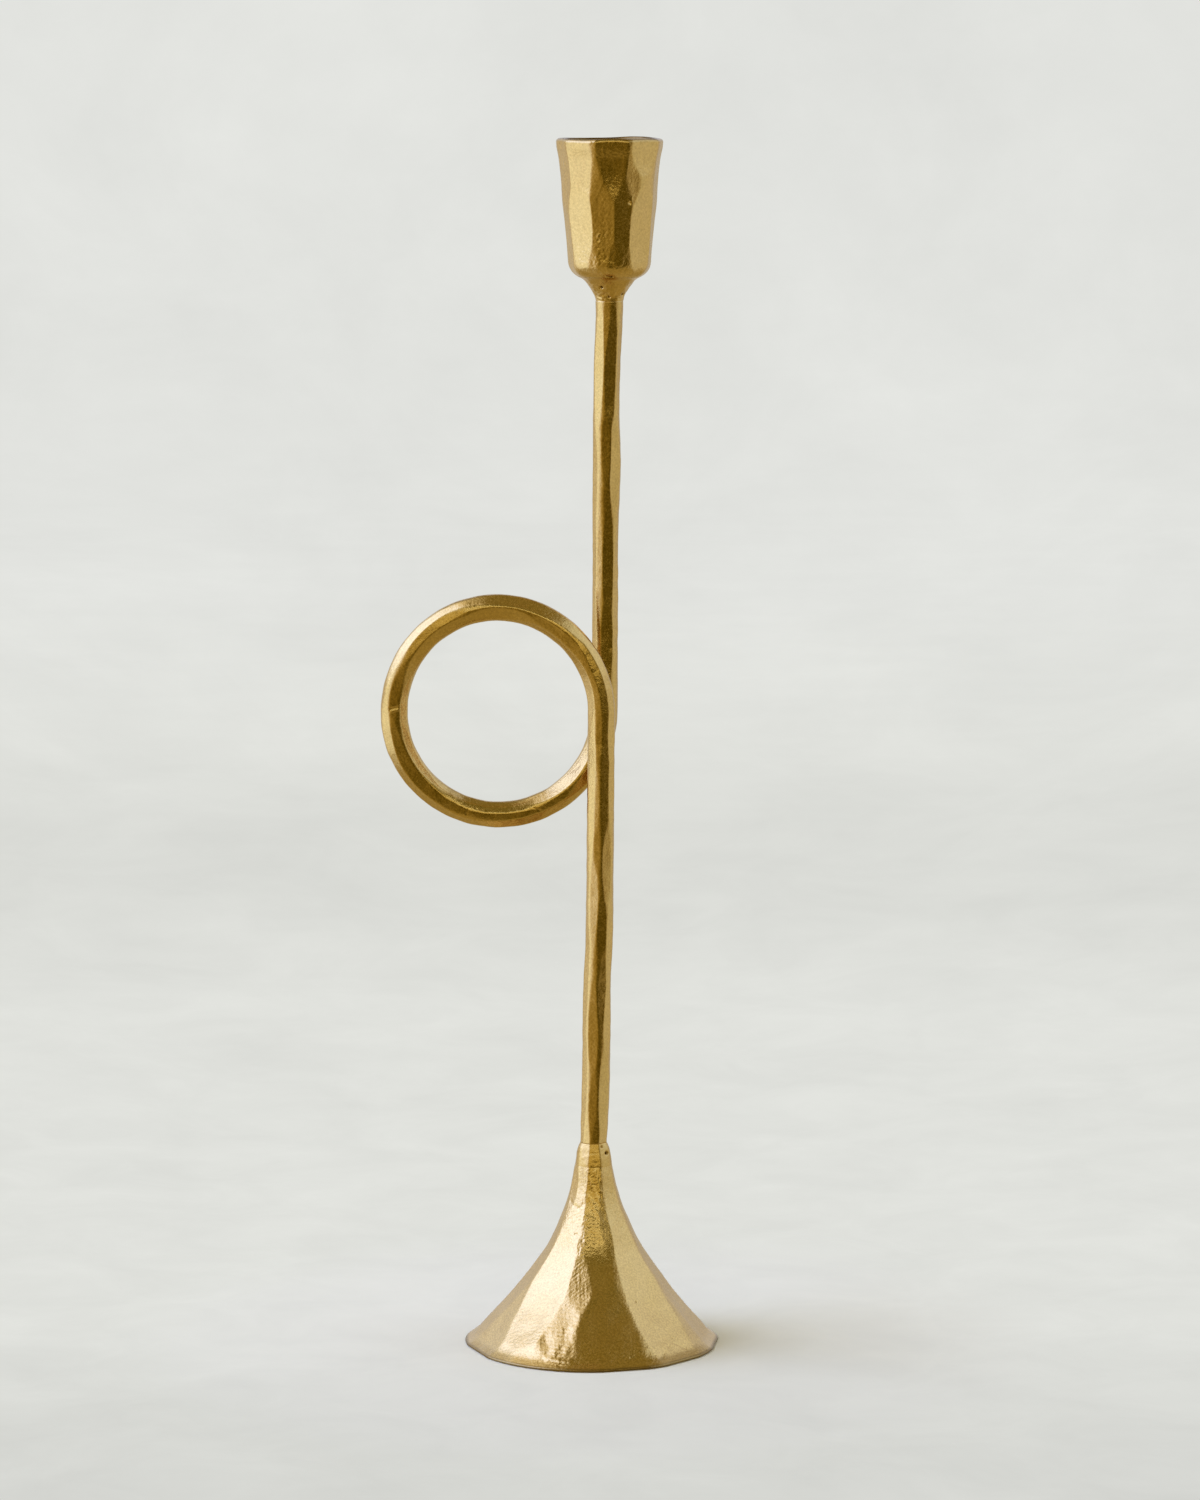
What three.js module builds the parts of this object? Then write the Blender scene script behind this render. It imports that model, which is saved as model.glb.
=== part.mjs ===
// Taper candle holder: one hammered round bar, thrown into a single loop, carries a tapered
// candle cup and stands in a hollow flared foot with felt under it.
// Millimetres, +Z up. The origin is the middle of the foot on the table.
// +X runs to the viewer's right and +Y runs away from the viewer.
import * as THREE from 'three';

// Driving dimensions: the foot and its felt
const padThickness = 1.0;
const padProud = 0.3; // the felt stands below the rim by this, and the rest of it is let in
const padClearance = 0.3; // round the felt, in the recess that it is let into
const footHeight = 48.0; // rim to the top of the neck
const footRadius = 33.9;
const footRimHeight = 0.4; // the upright edge of the rim
const footRimWidth = 3.7; // from the rim's edge in to the felt's recess
const footNeckRadius = 4.9;
const footNeckLength = 14.3; // the bored neck above the hollow
const footWall = 4.8; // measured level
const footNeckShift = 0.45; // the neck leans this far to the right of the rim's middle

// Driving dimensions: the bar
const barDiameter = 7.1;
const lowerStemLength = 115.85; // lower shoulder to the loop's middle
const upperStemLength = 107.85; // the loop's middle to the upper shoulder
const lowerStemLean = 2.1; // sideways, from shoulder to loop
const upperStemLean = 1.3; // sideways, from loop to shoulder
const loopRadius = 27.2; // to the bar's centreline
const loopDrift = 0.45; // the loop's middle moves right in its second half
const loopGrowth = 0.35; // and its radius grows
const loopGrowthStart = 0.5; // share of the way round the loop where both begin
const loopTaller = 0.65; // the loop reaches this much further up and down than sideways
const loopBulge = 0.26; // and this much further out a little below its far side
const strandGap = 0.4; // air between the two strands where they cross
const crossingHold = 42; // degrees of loop over which a strand stays fully to one side

// Driving dimensions: the joints
const tenonDiameter = 4.6;
const tenonChamfer = 0.6;
const jointClearance = 0.3; // round a tenon, and past its end
const cupTenonLength = 4.0; // the part of the upper tenon inside the cup
const footCollarHeight = 6.0;
const footCollarProud = 0.28; // the fillet stands out from the bar by this
const cupCollarHeight = 6.3;
const cupCollarProud = 0.12;

// Driving dimensions: the cup
const candleDepth = 29.0;
const mouthDiameter = 24.2;
const cupWall = 1.8;
const cupWeb = 2.4; // metal between the tenon's socket and the candle
const cupUndersideRadius = 8.3;
const cupShoulderHeight = 4.6;
const cupShoulderRadius = 10.84;

// Directions
const fullTurn = 360; // degrees
const rightwards = new THREE.Vector3(1, 0, 0);
const frontwards = new THREE.Vector3(0, -1, 0);

// Fineness of the faceted solids
const barSides = 18;
const barRingSpacing = 2.7;
const turnedSides = 44;
const collarSides = 28;
const ridgeWidth = 0.07; // a ridge between two blows is rounded over about this
const blowReachAngle = 75; // degrees: a blow leaves the surface alone further round than this

// Heights, from the table up
const footBottom = padProud;
const footTop = footBottom + footHeight;
const lowerShoulder = footTop + footCollarHeight;
const loopMiddle = lowerShoulder + lowerStemLength;
const upperShoulder = loopMiddle + upperStemLength;
const cupUnderside = upperShoulder + cupCollarHeight;
const cupFloor = cupUnderside + cupTenonLength + jointClearance + cupWeb;
const cupLip = cupFloor + candleDepth;
const lowerTenonTip = footTop - footNeckLength + jointClearance;
const upperTenonTip = cupUnderside + cupTenonLength;
const cupHeight = cupLip - cupUnderside;

// Widths that follow from others
const barRadius = barDiameter / 2;
const tenonRadius = tenonDiameter / 2;
const tenonBoreRadius = tenonRadius + jointClearance;
const mouthRadius = mouthDiameter / 2;
const strandOffset = (barDiameter + strandGap) / 2;
const lowerStemTopX = footNeckShift + lowerStemLean;
const upperStemFootX = lowerStemTopX + loopDrift + loopGrowth;
const cupX = upperStemFootX + upperStemLean;
const recessRadius = footRadius - footRimWidth;

// A smooth curve through points of [place, value], with its places in rising order.
function through(points, place) {
  const last = points.length - 1;
  let i = 0;
  while (i < last - 1 && place > points[i + 1][0]) i += 1;
  const slope = (k) => {
    const before = points[Math.max(k - 1, 0)];
    const after = points[Math.min(k + 1, last)];
    return (after[1] - before[1]) / (after[0] - before[0]);
  };
  const [x0, y0] = points[i];
  const [x1, y1] = points[i + 1];
  const span = x1 - x0;
  const t = THREE.MathUtils.clamp((place - x0) / span, 0, 1);
  const rise = (3 - 2 * t) * t * t;
  const leave = t * (1 - t) * (1 - t) * span * slope(i);
  const arrive = t * t * (t - 1) * span * slope(i + 1);
  return y0 + (y1 - y0) * rise + leave + arrive;
}

// The radius of a round surface that hammer blows have flattened. Each blow is a flat of
// [place along, half length, degrees round, half width in degrees], and blows overlap.
function hammered(radius, along, degrees, blows) {
  let sum = 1;
  for (const [place, halfLength, middle, halfWidth] of blows) {
    const halfTurn = fullTurn / 2;
    const turn = THREE.MathUtils.euclideanModulo(degrees - middle + halfTurn, fullTurn) - halfTurn;
    if (Math.abs(turn) > blowReachAngle) continue;
    const depth = 1 - Math.cos(THREE.MathUtils.degToRad(halfWidth));
    const reach = 1 - ((along - place) / halfLength) ** 2;
    const flat = (radius * (1 - depth * reach)) / Math.cos(THREE.MathUtils.degToRad(turn));
    sum += Math.exp((radius - flat) / ridgeWidth);
  }
  return radius - ridgeWidth * Math.log(sum);
}

// One ring of points. Degrees run from the viewer's side, 0, to the right, 90.
// radiusAt gives the radius at an angle, and side is the direction of 90 degrees.
function ring(centre, side, sides, radiusAt) {
  const points = [];
  for (let k = 0; k < sides; k += 1) {
    const degrees = (fullTurn * k) / sides;
    const angle = THREE.MathUtils.degToRad(degrees);
    const radius = radiusAt(degrees);
    const point = centre.clone();
    point.addScaledVector(frontwards, radius * Math.cos(angle));
    point.addScaledVector(side, radius * Math.sin(angle));
    points.push(point);
  }
  return points;
}

// A level ring round an upright axis at x.
function levelRing(x, z, sides, radiusAt) {
  return ring(new THREE.Vector3(x, 0, z), rightwards, sides, radiusAt);
}

function middleOf(points) {
  const sum = new THREE.Vector3();
  for (const point of points) sum.add(point);
  return sum.divideScalar(points.length);
}

// Skins rings of equal length into one closed surface. A tube that closes on itself joins
// its last ring to its first; any other gets a fan over each end.
function skin(rings, closesOnItself) {
  const sides = rings[0].length;
  const points = rings.flat();
  const index = [];
  const strips = closesOnItself ? rings.length : rings.length - 1;
  for (let i = 0; i < strips; i += 1) {
    const here = i * sides;
    const next = ((i + 1) % rings.length) * sides;
    for (let k = 0; k < sides; k += 1) {
      const after = (k + 1) % sides;
      index.push(here + k, here + after, next + after);
      index.push(here + k, next + after, next + k);
    }
  }
  if (!closesOnItself) {
    const first = points.push(middleOf(rings[0])) - 1;
    const last = points.push(middleOf(rings[rings.length - 1])) - 1;
    const lastRing = (rings.length - 1) * sides;
    for (let k = 0; k < sides; k += 1) {
      const after = (k + 1) % sides;
      index.push(first, after, k);
      index.push(last, lastRing + k, lastRing + after);
    }
  }
  const geometry = new THREE.BufferGeometry().setFromPoints(points);
  geometry.setIndex(index);
  geometry.computeVertexNormals();
  return geometry;
}

// The bar's sideways sway and its girth, by share of each stretch, as measured.
const lowerSway = [[0, 0], [0.14, 0.6], [0.38, 0.97], [0.47, 1.46], [0.7, 1.8], [1, 2.1]];
const upperSway = [[0, 0], [0.27, 0.18], [0.46, 0.28], [0.61, 0.6], [0.72, 0.45], [0.85, 0.7],
  [0.95, 1.2], [1, 1.3]];
const lowerGirth = [[0, 0.985], [0.07, 1.04], [0.31, 1.05], [0.42, 1.005], [0.52, 1.03],
  [0.65, 1.01], [0.75, 1.02], [0.85, 1], [1, 1]];
const loopGirth = [[0, 1], [0.42, 0.985], [0.56, 1.015], [0.68, 0.98], [0.75, 0.97], [1, 0.985]];
const loopBulging = [[0, 0], [0.42, 0], [0.56, 1], [0.68, 0.38], [0.76, 0], [1, 0]];
const upperGirth = [[0, 0.985], [0.3, 0.95], [0.46, 0.97], [0.6, 1.035], [0.7, 0.99],
  [0.76, 0.96], [0.85, 0.985], [1, 1.01]];

// Blows on the bar: [share of the stretch, half length in bar diameters, degrees round,
// half width].
// On the loop, 90 degrees is its outside and 270 its inside.
const lowerBlows = [
  [0.08, 1.41, -9, 18], [0.27, 1.76, -15, 22], [0.36, 1.69, 22, 23], [0.5, 1.27, 10, 20],
  [0.565, 1.69, -27, 21], [0.655, 1.55, 32, 24], [0.69, 0.92, -14, 15], [0.8, 1.27, -22, 15],
  [0.95, 1.13, -8, 15], [0.86, 2.82, 19, 19], [0.13, 2.54, -57, 20], [0.38, 2.25, -60, 20],
  [0.84, 2.54, -45, 22], [0.12, 1.69, 39, 26], [0.29, 1.41, 53, 23], [0.46, 1.69, 56, 20],
  [0.83, 1.27, 56, 20], [0.95, 1.13, 52, 22],
];
const loopBlows = [
  [0.05, 1.55, -55, 27], [0.03, 1.13, -14, 15], [0.135, 1.69, -12, 22], [0.05, 1.69, 17, 18],
  [0.06, 1.83, 53, 20], [0.2, 2.39, 44, 29], [0.245, 1.41, -24, 28], [0.37, 2.11, -32, 24],
  [0.355, 1.41, 12, 20], [0.38, 1.83, 52, 20], [0.47, 0.99, 1, 22], [0.5, 1.27, -50, 20],
  [0.57, 1.69, -46, 19], [0.69, 1.69, -60, 19], [0.6, 2.11, 2, 26], [0.535, 1.27, 45, 24],
  [0.63, 1.55, 52, 24], [0.675, 0.77, 5, 20], [0.755, 1.27, 6, 17], [0.735, 1.83, -28, 14],
  [0.8, 2.25, 42, 25], [0.84, 0.99, 8, 16], [0.87, 1.83, -42, 28], [0.9, 1.27, 20, 22],
];
const upperBlows = [
  [0.17, 1.97, -62, 18], [0.4, 1.97, -62, 18], [0.56, 1.69, -60, 19], [0.17, 1.69, 8, 27],
  [0.36, 2.11, 13, 25], [0.36, 1.69, -27, 14], [0.28, 2.54, 60, 20], [0.52, 0.56, 3, 14],
  [0.64, 1.41, 1, 23], [0.6, 1.76, 40, 29], [0.84, 2.25, -44, 27], [0.84, 2.25, 17, 26],
  [0.85, 1.13, 24, 20], [0.94, 1.13, -9, 17], [0.87, 1.97, 66, 20],
];

// The bar's far side is hammered in the same way, in three staggered rows.
const farBlowSpacing = 17; // between blows in a row
const farBlowHalfLength = 11;
const farBlowHalfAngle = 24; // degrees
const farBlowRows = [128, 180, 232]; // degrees round
const farBlowStagger = 9; // degrees, to and fro

function farBlows(length) {
  const blows = [];
  farBlowRows.forEach((degrees, row) => {
    const start = (row * farBlowSpacing) / farBlowRows.length;
    let stagger = farBlowStagger;
    for (let place = start; place < length; place += farBlowSpacing) {
      blows.push([place, farBlowHalfLength, degrees + stagger, farBlowHalfAngle]);
      stagger = -stagger;
    }
  });
  return blows;
}

// One stretch of the bar: how long it is, where its blows fall, and its girth and centreline
// by share of its length.
const loopLength = 2 * Math.PI * loopRadius;
const holdHeight = loopRadius * Math.sin(THREE.MathUtils.degToRad(crossingHold));
const smooth = THREE.MathUtils.smoothstep;

function swayAt(sway, share, lean) {
  return (through(sway, share) * lean) / sway[sway.length - 1][1];
}

const lowerStretch = {
  length: lowerStemLength,
  blows: lowerBlows,
  girth: lowerGirth,
  at(share) {
    const height = share * lowerStemLength;
    const x = footNeckShift + swayAt(lowerSway, share, lowerStemLean);
    const y = -strandOffset * smooth(height, 0, lowerStemLength - holdHeight);
    return [new THREE.Vector3(x, y, lowerShoulder + height), rightwards];
  },
};

const loopStretch = {
  length: loopLength,
  blows: loopBlows,
  girth: loopGirth,
  at(share) {
    const degrees = fullTurn * share;
    const angle = THREE.MathUtils.degToRad(degrees);
    const side = new THREE.Vector3(Math.cos(angle), 0, Math.sin(angle));
    const late = smooth(share, loopGrowthStart, 1);
    const middleX = lowerStemTopX - loopRadius + loopDrift * late;
    const across = 2 * smooth(degrees, crossingHold, fullTurn - crossingHold) - 1;
    const centre = new THREE.Vector3(middleX, strandOffset * across, loopMiddle);
    centre.z += loopTaller * Math.sin(angle);
    const bulge = loopBulge * through(loopBulging, share);
    return [centre.addScaledVector(side, loopRadius + loopGrowth * late + bulge), side];
  },
};

const upperStretch = {
  length: upperStemLength,
  blows: upperBlows,
  girth: upperGirth,
  at(share) {
    const height = share * upperStemLength;
    const x = upperStemFootX + swayAt(upperSway, share, upperStemLean);
    const y = strandOffset * (1 - smooth(height, holdHeight, upperStemLength));
    return [new THREE.Vector3(x, y, loopMiddle + height), rightwards];
  },
};

// A tenon's rings at one end of the bar, from its tip to its shoulder.
function tenonRings(x, tip, shoulder) {
  const towardsShoulder = Math.sign(shoulder - tip);
  const chamferEnd = tip + tenonChamfer * towardsShoulder;
  return [
    levelRing(x, tip, barSides, () => tenonRadius - tenonChamfer),
    levelRing(x, chamferEnd, barSides, () => tenonRadius),
    levelRing(x, shoulder, barSides, () => tenonRadius),
  ];
}

function loopedStem() {
  const stretches = [lowerStretch, loopStretch, upperStretch];
  const blows = [];
  let start = 0;
  for (const stretch of stretches) {
    for (const [share, diameters, ...turned] of stretch.blows) {
      blows.push([start + share * stretch.length, diameters * barDiameter, ...turned]);
    }
    start += stretch.length;
  }
  blows.push(...farBlows(start));
  const rings = tenonRings(footNeckShift, lowerTenonTip, lowerShoulder);
  start = 0;
  stretches.forEach((stretch, order) => {
    const steps = Math.ceil(stretch.length / barRingSpacing);
    for (let i = order === 0 ? 0 : 1; i <= steps; i += 1) {
      const share = i / steps;
      const along = start + share * stretch.length;
      const radius = barRadius * through(stretch.girth, share);
      const near = blows.filter(([place, halfLength]) => Math.abs(place - along) < halfLength);
      const [centre, side] = stretch.at(share);
      rings.push(ring(centre, side, barSides, (degrees) => hammered(radius, along, degrees, near)));
    }
    start += stretch.length;
  });
  rings.push(...tenonRings(cupX, upperTenonTip, upperShoulder).reverse());
  return skin(rings, false);
}

// The cup. Its flare gives the share of the way from the shoulder's radius to the lip's.
// Its blows have their places and half lengths by share of its height.
const cupFlare = [[0, 0], [0.31, 0.28], [0.48, 0.47], [0.65, 0.57], [0.85, 0.77], [0.95, 0.96],
  [1, 1]];
const cupBlows = [
  [0.81, 0.34, -37, 17], [0.39, 0.32, -42, 21], [0.76, 0.36, -68, 15], [0.22, 0.34, -72, 14],
  [0.69, 0.19, -16, 10.5], [0.88, 0.32, 2.5, 20], [0.39, 0.34, -9, 14], [0.45, 0.31, 17, 13],
  [0.154, 0.112, 4, 11], [0.73, 0.2, 28.5, 10.5], [0.32, 0.34, 49, 22], [0.92, 0.2, 45, 20],
  [0.5, 0.62, 79, 14], [0.45, 0.5, 117, 18], [0.76, 0.45, 148, 17], [0.36, 0.5, 176, 18],
  [0.73, 0.45, 207, 17], [0.42, 0.5, 240, 18],
];
const shoulderSquareness = 0.2; // share of the shoulder's height: 0 gives the roundest shoulder
const shoulderRings = 4;
const wallRings = 12;
const lipRings = 4;
const boreRings = 4;

function cupOuterRadius(height) {
  const lipRadius = mouthRadius + cupWall;
  const top = cupHeight - cupWall / 2;
  const share = (height - cupShoulderHeight) / (top - cupShoulderHeight);
  return THREE.MathUtils.lerp(cupShoulderRadius, lipRadius, through(cupFlare, share));
}

function candleCup() {
  const rings = [];
  const addRing = (height, radiusAt) => {
    rings.push(levelRing(cupX, cupUnderside + height, turnedSides, radiusAt));
  };
  addRing(cupTenonLength + jointClearance, () => tenonBoreRadius);
  addRing(0, () => tenonBoreRadius);
  addRing(0, () => cupUndersideRadius);
  const shoulder = new THREE.QuadraticBezierCurve(
    new THREE.Vector2(cupUndersideRadius, 0),
    new THREE.Vector2(cupShoulderRadius, cupShoulderHeight * shoulderSquareness),
    new THREE.Vector2(cupShoulderRadius, cupShoulderHeight),
  );
  const addHammered = (radius, height) => {
    addRing(height, (degrees) => hammered(radius, height / cupHeight, degrees, cupBlows));
  };
  for (let i = 1; i < shoulderRings; i += 1) {
    const point = shoulder.getPoint(i / shoulderRings);
    addHammered(point.x, point.y);
  }
  const lipRound = cupWall / 2;
  const wallTop = cupHeight - lipRound;
  for (let i = 0; i <= wallRings; i += 1) {
    const height = THREE.MathUtils.lerp(cupShoulderHeight, wallTop, i / wallRings);
    addHammered(cupOuterRadius(height), height);
  }
  for (let i = 1; i <= lipRings; i += 1) {
    const angle = (Math.PI * i) / lipRings;
    const radius = mouthRadius + lipRound + lipRound * Math.cos(angle);
    const height = wallTop + lipRound * Math.sin(angle);
    if (i < lipRings) addHammered(radius, height);
    else addRing(height, () => radius);
  }
  const floor = cupFloor - cupUnderside;
  for (let i = 1; i <= boreRings; i += 1) {
    const height = THREE.MathUtils.lerp(wallTop, floor, i / boreRings);
    addRing(height, () => cupOuterRadius(height) - cupWall);
  }
  return skin(rings, false);
}

// The foot. Its flare gives the share of the way from the neck's radius to the rim's, and
// its lean the share of the neck's shift, both by share of the height, as its blows are.
const footFlare = [[0, 0.985], [0.03, 0.915], [0.08, 0.844], [0.155, 0.737], [0.26, 0.588],
  [0.385, 0.434], [0.53, 0.27], [0.68, 0.152], [0.825, 0.063], [1, 0]];
const footLean = [[0, 0], [0.2, 0.4], [0.45, 1.35], [0.75, 1.3], [1, 1]];
const footBlows = [
  [0.42, 0.35, -43, 22], [0.125, 0.25, -67, 14], [0.46, 0.46, -80, 14], [0.7, 0.146, -36, 17],
  [0.885, 0.125, -62, 19], [0.96, 0.19, -32, 16], [0.417, 0.135, -13, 11], [0.53, 0.115, -22, 8],
  [0.167, 0.19, -1, 8], [0.23, 0.29, 9, 10], [0.604, 0.125, 3, 17], [0.7, 0.125, 20, 11],
  [0.854, 0.21, -1, 18], [0.177, 0.19, 21, 8], [0.33, 0.54, 50, 17], [0.79, 0.29, 43, 20],
  [0.29, 0.5, 82, 13], [0.29, 0.5, 110, 13], [0.42, 0.54, 140, 13], [0.27, 0.5, 168, 13],
  [0.42, 0.54, 196, 13], [0.27, 0.5, 224, 13], [0.4, 0.54, 252, 13],
];
const footRings = 16;
const footRingCrowding = 1.3; // the rings lie closer together towards the rim
const hollowRings = 6;
const hollowLedge = 0.5; // the hollow's ceiling stays wider than the neck's bore by this

function footOuterRadius(height) {
  const share = (height - footRimHeight) / (footHeight - footRimHeight);
  return THREE.MathUtils.lerp(footNeckRadius, footRadius, through(footFlare, share));
}

function footX(height) {
  return footNeckShift * through(footLean, height / footHeight);
}

function flaredFoot() {
  const rings = [];
  const addRing = (height, radiusAt) => {
    rings.push(levelRing(footX(height), footBottom + height, turnedSides, radiusAt));
  };
  const addHammered = (radius, height) => {
    addRing(height, (degrees) => hammered(radius, height / footHeight, degrees, footBlows));
  };
  addHammered(footRadius, 0);
  for (let i = 0; i <= footRings; i += 1) {
    const share = (i / footRings) ** footRingCrowding;
    const height = THREE.MathUtils.lerp(footRimHeight, footHeight, share);
    addHammered(footOuterRadius(height), height);
  }
  addRing(footHeight, () => tenonBoreRadius);
  const ceiling = footHeight - footNeckLength;
  addRing(ceiling, () => tenonBoreRadius);
  const recess = padThickness - padProud;
  for (let i = 0; i <= hollowRings; i += 1) {
    const height = THREE.MathUtils.lerp(ceiling, recess, i / hollowRings);
    const ledge = tenonBoreRadius + hollowLedge;
    addRing(height, () => Math.max(footOuterRadius(height) - footWall, ledge));
  }
  addRing(recess, () => recessRadius);
  addRing(0, () => recessRadius);
  return skin(rings, true);
}

// A braze fillet round a tenon, between the bar's shoulder and the cup or the foot. Its
// outside runs from one radius to the other, hollowed by the given curve.
function brazeCollar(fromX, toX, bottom, top, bottomRadius, topRadius, curve) {
  const height = top - bottom;
  const rings = [levelRing(fromX, bottom, collarSides, () => tenonBoreRadius)];
  for (const [share, way] of curve) {
    const radius = THREE.MathUtils.lerp(bottomRadius, topRadius, way);
    const x = THREE.MathUtils.lerp(fromX, toX, share);
    rings.push(levelRing(x, bottom + share * height, collarSides, () => radius));
  }
  rings.push(levelRing(toX, top, collarSides, () => tenonBoreRadius));
  return skin(rings, true);
}

const cupCollarCurve = [[0, 0], [0.1, 0.03], [0.25, 0.09], [0.41, 0.22], [0.59, 0.39],
  [0.75, 0.54], [0.9, 0.74], [1, 1]];
const footCollarCurve = [[0, 0], [0.4, 0.26], [0.78, 0.57], [0.92, 0.8], [1, 1]];

function cupBrazeCollar() {
  const barEnd = barRadius * upperGirth[upperGirth.length - 1][1] + cupCollarProud;
  return brazeCollar(cupX, cupX, upperShoulder, cupUnderside, barEnd, cupUndersideRadius,
    cupCollarCurve);
}

function footBrazeCollar() {
  const barEnd = barRadius * lowerGirth[0][1] + footCollarProud;
  return brazeCollar(footNeckShift, footNeckShift, footTop, lowerShoulder, footNeckRadius, barEnd,
    footCollarCurve);
}

function feltPad() {
  const radius = recessRadius - padClearance;
  return skin([
    levelRing(0, 0, turnedSides, () => radius),
    levelRing(0, padThickness, turnedSides, () => radius),
  ], false);
}

// Materials, one for each piece
function satinGold(color) {
  return new THREE.MeshStandardMaterial({ color, roughness: 0.36, metalness: 1 });
}

function feltFinish() {
  return new THREE.MeshStandardMaterial({ color: 0x2b2723, roughness: 0.95, metalness: 0 });
}

const holder = new THREE.Group();

function addPiece(name, geometry, material) {
  const mesh = new THREE.Mesh(geometry, material);
  mesh.name = name;
  holder.add(mesh);
}

addPiece('candle_cup', candleCup(), satinGold(0xb8913f));
addPiece('cup_braze_collar', cupBrazeCollar(), satinGold(0xa5802f));
addPiece('looped_stem', loopedStem(), satinGold(0xb08a3a));
addPiece('foot_braze_collar', footBrazeCollar(), satinGold(0xa5802f));
addPiece('flared_foot', flaredFoot(), satinGold(0xb8913f));
addPiece('felt_pad', feltPad(), feltFinish());

export default holder;
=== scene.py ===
# Looks for the taper candle holder: hammered brass cup, looped bar and flared foot, and felt.
# Everything is in the part's own frame. Shapes are worked out in millimetres and put down in
# metres. Degrees run round a piece from the front, 0, to the right, 90.
import functools
import math

import bpy
import numpy as np
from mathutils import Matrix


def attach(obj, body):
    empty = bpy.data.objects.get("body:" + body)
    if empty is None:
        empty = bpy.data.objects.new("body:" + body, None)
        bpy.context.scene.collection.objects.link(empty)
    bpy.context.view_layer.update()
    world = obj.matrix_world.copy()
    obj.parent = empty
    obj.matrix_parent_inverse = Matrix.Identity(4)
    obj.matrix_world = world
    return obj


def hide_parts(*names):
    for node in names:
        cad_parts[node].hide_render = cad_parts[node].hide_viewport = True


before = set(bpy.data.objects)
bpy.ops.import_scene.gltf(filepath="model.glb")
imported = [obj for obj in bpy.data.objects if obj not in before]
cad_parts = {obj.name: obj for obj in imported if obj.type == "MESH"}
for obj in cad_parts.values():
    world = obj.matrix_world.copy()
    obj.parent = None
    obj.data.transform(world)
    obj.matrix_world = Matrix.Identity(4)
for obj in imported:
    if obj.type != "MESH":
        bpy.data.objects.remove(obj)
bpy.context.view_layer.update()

MM = 0.001

# The camera of the photograph: lens and sensor in millimetres, its place in metres, and how many
# degrees it looks down
CAMERA_LENS = 125.256
CAMERA_SENSOR = 36
CAMERA_PLACE = (0.00217, -1.36143, 0.35694)
CAMERA_DOWN = 8.24


def camera_of_the_photograph():
    data = bpy.data.cameras.new("camera")
    data.lens = CAMERA_LENS
    data.sensor_width = CAMERA_SENSOR
    camera = bpy.data.objects.new("camera", data)
    camera.location = CAMERA_PLACE
    camera.rotation_euler = (math.radians(90 - CAMERA_DOWN), 0, 0)
    bpy.context.scene.collection.objects.link(camera)
    bpy.context.scene.camera = camera


camera_of_the_photograph()
bpy.context.scene.view_settings.view_transform = "Standard"

# Sizes that the part was made to, in millimetres
FOOT_BOTTOM = 0.3
FOOT_HEIGHT = 48.0
FOOT_RADIUS = 33.9
FOOT_RIM_HEIGHT = 0.4
FOOT_NECK_RADIUS = 4.9
FOOT_NECK_LENGTH = 14.3
FOOT_NECK_SHIFT = 0.45
FOOT_WALL = 4.8
HOLLOW_LEDGE = 0.5
RECESS_RADIUS = 30.2
RECESS_HEIGHT = 0.7
PAD_RADIUS = 29.9
PAD_THICKNESS = 1.0

BAR_RADIUS = 3.55
LOWER_STEM_LENGTH = 115.85
LOWER_STEM_LEAN = 2.1
UPPER_STEM_LENGTH = 107.85
UPPER_STEM_LEAN = 1.3
LOOP_RADIUS = 27.2
LOOP_DRIFT = 0.45
LOOP_GROWTH = 0.35
LOOP_TALLER = 0.65
STRAND_OFFSET = 3.75
CROSSING_HOLD = 42  # degrees round the loop, at each end, where its strands keep their offset

TENON_RADIUS = 2.3
TENON_CHAMFER = 0.6
BORE_RADIUS = 2.6
CUP_TENON_LENGTH = 4.0
JOINT_CLEARANCE = 0.3
FOOT_COLLAR_HEIGHT = 6.0
CUP_COLLAR_HEIGHT = 6.3

MOUTH_RADIUS = 12.1
CUP_WALL = 1.8
CUP_HEIGHT = 35.7
CUP_UNDERSIDE_RADIUS = 8.3
CUP_SHOULDER_HEIGHT = 4.6
CUP_SHOULDER_RADIUS = 10.84
SOCKET_DEPTH = 29.0

# Heights from the table up
FOOT_TOP = FOOT_BOTTOM + FOOT_HEIGHT
LOWER_SHOULDER = FOOT_TOP + FOOT_COLLAR_HEIGHT
LOOP_MIDDLE = LOWER_SHOULDER + LOWER_STEM_LENGTH
UPPER_SHOULDER = LOOP_MIDDLE + UPPER_STEM_LENGTH
CUP_UNDERSIDE = UPPER_SHOULDER + CUP_COLLAR_HEIGHT
CUP_FLOOR = CUP_UNDERSIDE + CUP_HEIGHT - SOCKET_DEPTH

# Places to the right of the foot's middle
LOWER_STEM_TOP_X = FOOT_NECK_SHIFT + LOWER_STEM_LEAN
UPPER_STEM_FOOT_X = LOWER_STEM_TOP_X + LOOP_DRIFT + LOOP_GROWTH
CUP_X = UPPER_STEM_FOOT_X + UPPER_STEM_LEAN


# Colours and nodes


# Sockets of a Mix node that mixes colours: the share, the colour at 0, the colour at 1, the result
MIX_SHARE, MIX_FROM, MIX_TO, MIX_OUT = 0, 6, 7, 2
# Nearly all of a noise pattern lies between these values
NOISE_LOW, NOISE_HIGH = 0.3, 0.7


def linear(hex_colour):
    """An sRGB hex colour as linear red, green and blue, with an alpha of 1."""
    channels = [int(hex_colour[i : i + 2], 16) / 255 for i in (1, 3, 5)]
    return [c / 12.92 if c <= 0.04045 else ((c + 0.055) / 1.055) ** 2.4 for c in channels] + [1]


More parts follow.
